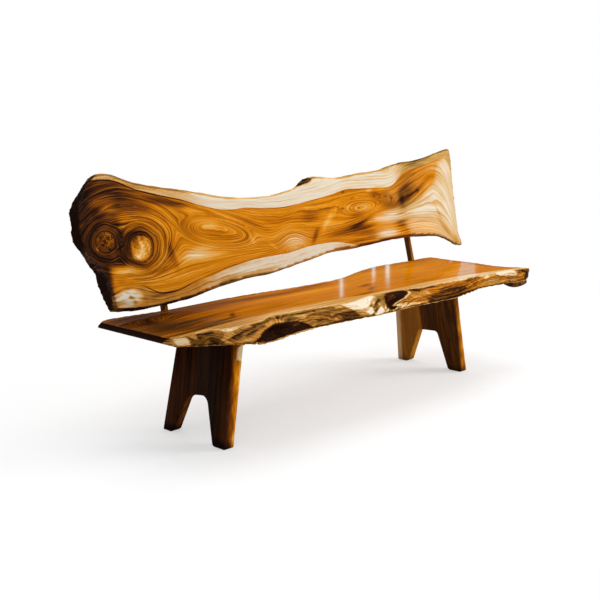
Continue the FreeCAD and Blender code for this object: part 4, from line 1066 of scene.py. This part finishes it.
def paint_seat(co, no, lip):
    """The seat's tones and borders at every point, and where its front live edge is."""
    x, y, z = co.T
    down = np.clip((SEAT_TOP - z) / SEAT_THICK, 0, 1)
    flat = step(np.abs(z - SEAT_TOP), 2.0, 0.6) + step(np.abs(z - SEAT_TOP + SEAT_THICK), 2.0, 0.6)
    front = (1 - np.clip(flat, 0, 1)) * (y < 0) * (no[:, 0] > -0.75)
    under = step(-no[:, 2], 0.8, 0.97) * (1 - front)
    y = y - UNDER_SHIFT * under
    dark = spots(x, y, SEAT_DARK)
    border = smooth_line(x, SEAT_X, SEAT_SAP)
    lip_line = bell(co[:, 1] - lip, 3, 5, 2) * (1 - front) * (1 - under) * (co[:, 1] < 0)
    calm = 0.55 + 0.55 * step(-x, 500, 800) + 0.5 * step(border - y, 0, 12)
    sapwood = 0.47 + 0.11 * step(x, -760, -560) + 0.05 * step(x, 100, 400)
    sapwood += np.sin((y - border) / 4.2 + np.sin(x / 90)) * 0.07
    # Painted shade: the underside is darker.
    sapwood += 0.10 * lip_line - 0.08 * under + dark * 0.4
    sapmilk = 0.54 + 0.16 * band(x, -640, -420, -200, -80) + 0.26 * step(x, -50, 250)
    sapmilk += 0.40 * lip_line

    edge, white, holes = paint_edge(co, x, down)
    rear = step(no[:, 1], 0.2, 0.6)
    tone = 0.43 + 0.09 * step(x, -700, -150) + dark + spots(x, y, SEAT_PALE)
    # Painted shade: faces turned to the rear, and the underside, are darker.
    tone = tone * (1 - front) + edge * front - 0.20 * rear - 0.12 * under
    # Painted shade: the left end face goes near-black.
    left_end = step(-no[:, 0], 0.5, 0.75) * (x < -900)
    right_end = step(no[:, 0], 0.5, 0.8) * (x > 700)
    return {
        "heart": np.clip(tone - 0.10 * right_end, 0.02, 1),
        "sapwood": np.clip(sapwood * (1 - front) + edge * front, 0.02, 1),
        "milk": np.clip(white * front, 0, 1),
        "sapmilk": np.clip(sapmilk * (1 - front) + white * front, 0, 1),
        "calm": np.clip(calm * (1 - front) + (1.7 - 1.3 * holes) * front, 0.2, 2),
        "sapline": np.clip(border - y, -40, 40),
        "charline": np.where(left_end > 0.5, 20.0, -60.0),
        "ink": np.full_like(x, 0.12),
        "raw": np.maximum(front, rear),
    }, front


def shape_tip(co, home):
    """Push the seat's right front corner out to its nose, foot and belly, by its plain shape."""
    x, y, z = home.T
    tip = step(x, 780, 822) * step(-y, 235, 275)
    belly = step(-z, -403, -384) * step(x, 690, 740)
    co[:, 0] += tip * (TIP_FOOT * step(z, 400, 424) + TIP_NOSE * bell(z, 436, 9, 2))
    co[:, 0] += TIP_BELLY * belly
    co[:, 2] -= BELLY_SAG * belly
    co[:, 2] += CORNER_LIFT * step(x, 735, 770) * step(-z, -412, -402)


def build_seat(sizes):
    """The seat slab, with its live front edge in relief."""
    seat = copy_node("seat_slab", "seat_wood_slab")

    def edges(co, no):
        return (np.abs(no[:, 2]) < 0.9) & (co[:, 1] < 60)

    remesh_slab(seat, sizes.slab_cell, edges, 2, (SEAT_TOP, SEAT_TOP - SEAT_THICK))
    co, no = points(seat), normals(seat)
    home = co.copy()
    x, y, z = home.T
    lip = rim(x, y, z > SEAT_TOP - 0.5, True)
    live = (1 - step(np.abs(no[:, 2]), 0.80, 0.98)) * step(np.abs(no[:, 1]), 0.1, 0.5)
    live *= 1 - 0.8 * step(x, 730, 790)
    fibre, lump, knot = reliefs(sizes)
    sink = live * (lumps(co, (70, 9, 9), 31) * fibre + lumps(co, (60, 30, 26), 32) * lump)
    ends = step(np.abs(no[:, 0]), 0.4, 0.8) * (1 - live)
    sink += ends * lumps(co, (14, 16, 16), 33) * step(-x, 0, 1) * LEFT_END_RELIEF
    mm_down = (SEAT_TOP - z) / SEAT_THICK * EDGE_GIRTH
    for ring, soft in EDGE_HOLES:
        sink += patch(x, mm_down, ring, soft) * live * (y < 0) * knot * HOLE_DEPTH
    co -= no * sink[:, None]
    shape_tip(co, home)
    set_points(seat, co)
    layers, front = paint_seat(home, no, lip)
    down = np.clip((SEAT_TOP - z) / SEAT_THICK, 0, 1)
    edge = edge_grain(x, down) + seat_grain(x, lip, 0 * z)
    grain = seat_grain(x, y, SEAT_TOP - z) * (1 - front) + edge * front
    paint(seat, grain, SEAT_TOP - z, layers)
    smooth(seat)
    return seat


# Operators


def settings():
    """The sizes and the colours."""
    return bpy.context.scene.bench_sizes, bpy.context.scene.bench_colours


class BENCH_OT_seat(bpy.types.Operator):
    """Model and finish the live-edge seat slab"""

    bl_idname = "bench.make_seat"
    bl_label = "Seat slab"

    def execute(self, context):
        sizes, colours = settings()
        wood = slab_wood("seat_wood", colours)
        stand_in(build_seat(sizes), wood, "seat_slab")
        return {"FINISHED"}


class BENCH_OT_back(bpy.types.Operator):
    """Model and finish the live-edge back slab"""

    bl_idname = "bench.make_back"
    bl_label = "Back slab"

    def execute(self, context):
        sizes, colours = settings()
        wood = slab_wood("back_wood", colours)
        stand_in(build_back(sizes), wood, "back_slab")
        return {"FINISHED"}


# Painted light, and one pale sapwood chip, are given in each board's own turned axes, in metres:
# how much paler, how much whiter, then each direction with the places where it begins and is full.
# FRONT gates a board's front face. The feet rows are painted shade, darker towards the floor; the
# other rows paint lit faces and edges paler, and whiter as a painted highlight.
FRONT = ((0, -1, 0), 0.138, 0.158)
LEFT_FOOT = (-0.20, 0, ((0, 0, 1), -0.10, -0.14))
RIGHT_FOOT = (-0.22, 0, ((0, 0, 1), -0.07, -0.108))
# Tone, contrast, seed, tan, and painted light and chips of each board.
BOARD_TONES = {
    "left_leg_front_board": (0.03, 0.5, 1.0, 0.0, (
        (0.27, 0, FRONT, ((1, 0, 0.0346), -0.782, -0.752)),
        (0.16, 0, ((0, -1, 0), 0.105, 0.162)),
        (0.22, 0, FRONT, ((1, 0, 0), -0.758, -0.746)),
        # This row is the pale sapwood chip on the front face.
        (0.30, 0.9, FRONT, ((1, 0, 0), -0.772, -0.764), ((0, 0, 1), 0.176, 0.186),
         ((0, 0, -1), -0.234, -0.226)),
        (0.10, 0, ((0, -1, 0), 0.135, 0.158), ((0, 0, 1), -0.05, 0.15)),
        LEFT_FOOT,
    )),
    "left_leg_rear_board": (0.11, 0.7, 5.0, 0.0, (
        (0.16, 0, ((1, 0, 0), -0.776, -0.756)), LEFT_FOOT,
    )),
    "right_leg_front_board": (0.16, 0.9, 9.0, 0.06, (
        (0.36, 0, FRONT, ((1, 0, 0), 0.560, 0.584)),
        (0.18, 0.4, FRONT, ((1, 0, 0), 0.590, 0.600)),
        RIGHT_FOOT,
    )),
    "right_leg_rear_board": (0.36, 0.7, 13.0, 0.34, (
        (0.26, 0, ((1, 0, 0), 0.563, 0.576)),
        (0.16, 0.35, ((0, 1, 0.1033), 0.165, 0.185)),
        RIGHT_FOOT,
    )),
    "left_cleat": (0.30, 0.8, 17.0, 0.0, ()),
    "right_cleat": (0.32, 0.8, 21.0, 0.0, ()),
}  # fmt: skip


class BENCH_OT_legs(bpy.types.Operator):
    """Model and finish the leg boards and the cleats under the seat"""

    bl_idname = "bench.make_legs"
    bl_label = "Legs and cleats"

    def execute(self, context):
        sizes, colours = settings()
        for node, (tone, contrast, seed, tan, painted_light_and_chips) in BOARD_TONES.items():
            board = copy_node(node, node + "_wood")
            soften(board, sizes.board_bevel)
            lean = -SPLAY if node.startswith("left") else SPLAY
            turn = (math.pi / 2, 0, 0) if "cleat" in node else (0, lean, 0)
            wood = board_wood(node + "_wood", colours, turn, tone, contrast, seed, painted_light_and_chips, tan)
            stand_in(board, wood, node)
        return {"FINISHED"}


class BENCH_OT_posts(bpy.types.Operator):
    """Model and finish the two posts that carry the back"""

    bl_idname = "bench.make_posts"
    bl_label = "Posts"

    def execute(self, context):
        sizes, colours = settings()
        for node, seed in (("left_post", 3.0), ("right_post", 8.0)):
            post = copy_node(node, node + "_wood")
            soften(post, sizes.board_bevel)
            left = points(post)[:, 0].min() * MM
            # Painted shade: the post stays dark on its left face and is painted paler everywhere
            # else, as if lit from the right.
            painted_light_and_chips = ((0.28, 0, ((1, 0, 0), left + 0.001, left + 0.006)),)
            wood = board_wood(node + "_wood", colours, (LEAN, 0, 0), 0.16, 0.7, seed, painted_light_and_chips, 0.15)
            stand_in(post, wood, node)
        return {"FINISHED"}


class BENCH_OT_hardware(bpy.types.Operator):
    """Finish the dowels, screws, bolts, washers and brackets"""

    bl_idname = "bench.finish_hardware"
    bl_label = "Hardware"

    def execute(self, context):
        _, colours = settings()
        steel, dowel = plain_steel("zinc_steel", colours), dowel_wood("dowel_wood", colours)
        for name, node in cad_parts.items():
            if node.hide_render:
                continue
            material = dowel if name.endswith("dowels") else steel
            for slot in node.material_slots:
                slot.material = material
        return {"FINISHED"}


# Camera, fitted to the bench's own straight lines: metres, radians and picture points.
CAMERA = Vector((-2.8919, -2.7730, 1.1907))
CAMERA_YAW, CAMERA_PITCH, CAMERA_ROLL = 0.7571, 0.1938, -0.0307
FOCAL, PICTURE, SENSOR = 993.86, 600, 36
SHIFT = (0.00475, -0.0002)
FAR = 100
FLOOR_SIZE, FLOOR_DROP = 40, 0.0005
# From how far out to how far the floor goes over to white, and the share of white at each.
FLOOR_FADE = (0.4, 2.2, 0.45, 1.0)
SKY_RISE = (0.15, 0.8, 0.12, 0.95)  # the same for the sky's light, by its height
MIDDLE = (0, 0, 0.4)  # the point at which the studio's lights are aimed
# The studio's lights: name, place, size, power and whether the varnish mirrors it.
LIGHTS = (
    ("key_light", (3.4, -3.1, 2.7), (2.2, 1.8), 140, False),
    ("fill_light", (-3.4, -2.6, 1.9), (2.0, 2.0), 16, False),
    ("top_light", (0.0, 0.2, 3.6), (3.0, 2.0), 42, True),
    ("rear_light", (1.2, 3.4, 2.6), (2.4, 1.6), 30, False),
)
# Tall narrow lights whose mirror images lie on the seat: picture column, width, top, strength.
STREAKS = (
    (341, 0.024, 2.0, 4.6),
    (373.5, 0.022, 1.12, 4.8),
    (387.5, 0.030, 1.14, 4.6),
    (462.5, 0.20, 2.0, 1.7),
)
STREAK_FOOT, STREAK_AWAY, STREAK_COLOUR = 0.3, 8.0, (0.36, 0.92, 1.0)
STREAK_AIM = (297, 25)  # the picture's middle column, and how far above its middle row they are


def camera_axes():
    """The camera's directions ahead, to the right and up."""
    y, p, c, s = CAMERA_YAW, CAMERA_PITCH, math.cos(CAMERA_ROLL), math.sin(CAMERA_ROLL)
    ahead = Vector((math.sin(y) * math.cos(p), math.cos(y) * math.cos(p), -math.sin(p)))
    right = Vector((math.cos(y), -math.sin(y), 0))
    up = right.cross(ahead)
    return ahead, c * right + s * up, c * up - s * right


def add_light(name, place, target, size, power, shown=True):
    """A rectangular light at place, looking at target."""
    deselect()
    bpy.ops.object.light_add(type="AREA", location=place)
    lamp = bpy.context.object
    lamp.name = name
    lamp.data.shape = "RECTANGLE"
    lamp.data.size, lamp.data.size_y = size
    lamp.data.energy = power
    away = Vector(target) - Vector(place)
    lamp.rotation_euler = away.to_track_quat("-Z", "Y").to_euler()
    lamp.visible_camera = False
    lamp.visible_glossy = shown
    return lamp


def set_floor(colours):
    """A pale floor that goes over to white away from the bench."""
    deselect()
    bpy.ops.mesh.primitive_plane_add(size=FLOOR_SIZE, location=(0, 0, -FLOOR_DROP))
    floor = bpy.context.object
    floor.name = "floor"
    bpy.ops.object.transform_apply(location=True, rotation=True, scale=True)
    s = new_shader("pale_floor")
    x, y, _ = s.places()
    away = ((x * x * 0.5) + (y * y)).maths("SQRT")
    grit = s.noise(x * 30, y * 30, 0.0, 2.0)
    base = s.mix((grit * 0.2 + 0.1).clamped(), colours.floor, (0.8, 0.8, 0.8))
    matt = s.node("ShaderNodeBsdfPrincipled", {}, {"Base Color": base, "Roughness": 0.9})
    white = s.node("ShaderNodeEmission", {}, {"Color": (1, 1, 1, 1), "Strength": 1.0})
    seen = s.node("ShaderNodeLightPath", output="Is Camera Ray")
    share = seen * away.ramp(*FLOOR_FADE)
    mixed = s.node("ShaderNodeMixShader", {}, {0: share, 1: matt, 2: white})
    s.node("ShaderNodeOutputMaterial", {}, {"Surface": mixed})
    floor.data.materials.append(s.owner)


def set_sky():
    """A sky that the camera sees as white and that lights the bench softly from above."""
    world = bpy.data.worlds.new("studio")
    bpy.context.scene.world = world
    s = Shader(world)
    seen = s.node("ShaderNodeLightPath", output="Is Camera Ray")
    height = s.node("ShaderNodeTexCoord", output="Generated")
    height = s.node("ShaderNodeSeparateXYZ", {}, {0: height}, 2)
    room = height.ramp(*SKY_RISE)
    strength = seen * (1 - room) + room
    sky = s.node("ShaderNodeBackground", {}, {"Color": (1, 1, 1, 1), "Strength": strength})
    s.node("ShaderNodeOutputWorld", {}, {"Surface": sky})


def set_lights():
    """The studio's lights, and those whose mirror images streak the seat."""
    for name, place, size, power, shown in LIGHTS:
        add_light(name, place, MIDDLE, size, power, shown)
    ahead, right, up = camera_axes()
    middle, above = STREAK_AIM
    for column, width, top, strength in STREAKS:
        ray = FOCAL * ahead + (column - middle) * right + above * up
        height = (STREAK_FOOT + top) / 2
        target = Vector((CAMERA.x, CAMERA.y, height))
        place = target + Vector((ray.x, ray.y, 0)).normalized() * STREAK_AWAY
        size = (width, top - STREAK_FOOT)
        power = strength * size[0] * size[1] * math.pi
        add_light("streak_light", place, target, size, power).data.color = STREAK_COLOUR


def set_camera():
    """The camera, as it stood for the picture."""
    camera = bpy.data.cameras.new("camera")
    camera.sensor_width = SENSOR
    camera.lens = FOCAL / PICTURE * SENSOR
    camera.shift_x, camera.shift_y = SHIFT
    camera.clip_end = FAR
    view = bpy.data.objects.new("camera", camera)
    bpy.context.scene.collection.objects.link(view)
    ahead, right, up = camera_axes()
    turn = Matrix((right, up, -ahead)).transposed().to_4x4()
    view.matrix_world = Matrix.Translation(CAMERA) @ turn
    bpy.context.scene.camera = view
    bpy.context.scene.view_settings.view_transform = "Standard"


class BENCH_OT_stage(bpy.types.Operator):
    """Set the floor, the light and the camera"""

    bl_idname = "bench.set_stage"
    bl_label = "Stage"

    def execute(self, context):
        set_floor(settings()[1])
        set_sky()
        set_lights()
        set_camera()
        return {"FINISHED"}


OPERATORS = (
    BENCH_OT_stage,
    BENCH_OT_seat,
    BENCH_OT_back,
    BENCH_OT_legs,
    BENCH_OT_posts,
    BENCH_OT_hardware,
)


class BENCH_PT_panel(bpy.types.Panel):
    """Lists the bench's settings and its making, piece by piece"""

    bl_idname = "BENCH_PT_panel"
    bl_label = "Live-edge slab bench"
    bl_space_type = "VIEW_3D"
    bl_region_type = "UI"
    bl_category = "Bench"

    def draw(self, context):
        for group in settings():
            for name in group.__annotations__:
                self.layout.prop(group, name)
        for operator in OPERATORS:
            self.layout.operator(operator.bl_idname)


CLASSES = (BenchSizes, BenchColours, *OPERATORS, BENCH_PT_panel)


def register():
    """Register the settings, the operators and the panel."""
    for cls in CLASSES:
        bpy.utils.register_class(cls)
    bpy.types.Scene.bench_sizes = PointerProperty(type=BenchSizes)
    bpy.types.Scene.bench_colours = PointerProperty(type=BenchColours)


def unregister():
    """Take back what register does."""
    del bpy.types.Scene.bench_colours
    del bpy.types.Scene.bench_sizes
    for cls in reversed(CLASSES):
        bpy.utils.unregister_class(cls)


def main():
    """Set the stage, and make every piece."""
    register()
    bpy.ops.bench.set_stage()
    bpy.ops.bench.make_seat()
    bpy.ops.bench.make_back()
    bpy.ops.bench.make_legs()
    bpy.ops.bench.make_posts()
    bpy.ops.bench.finish_hardware()


if __name__ == "__main__":
    main()
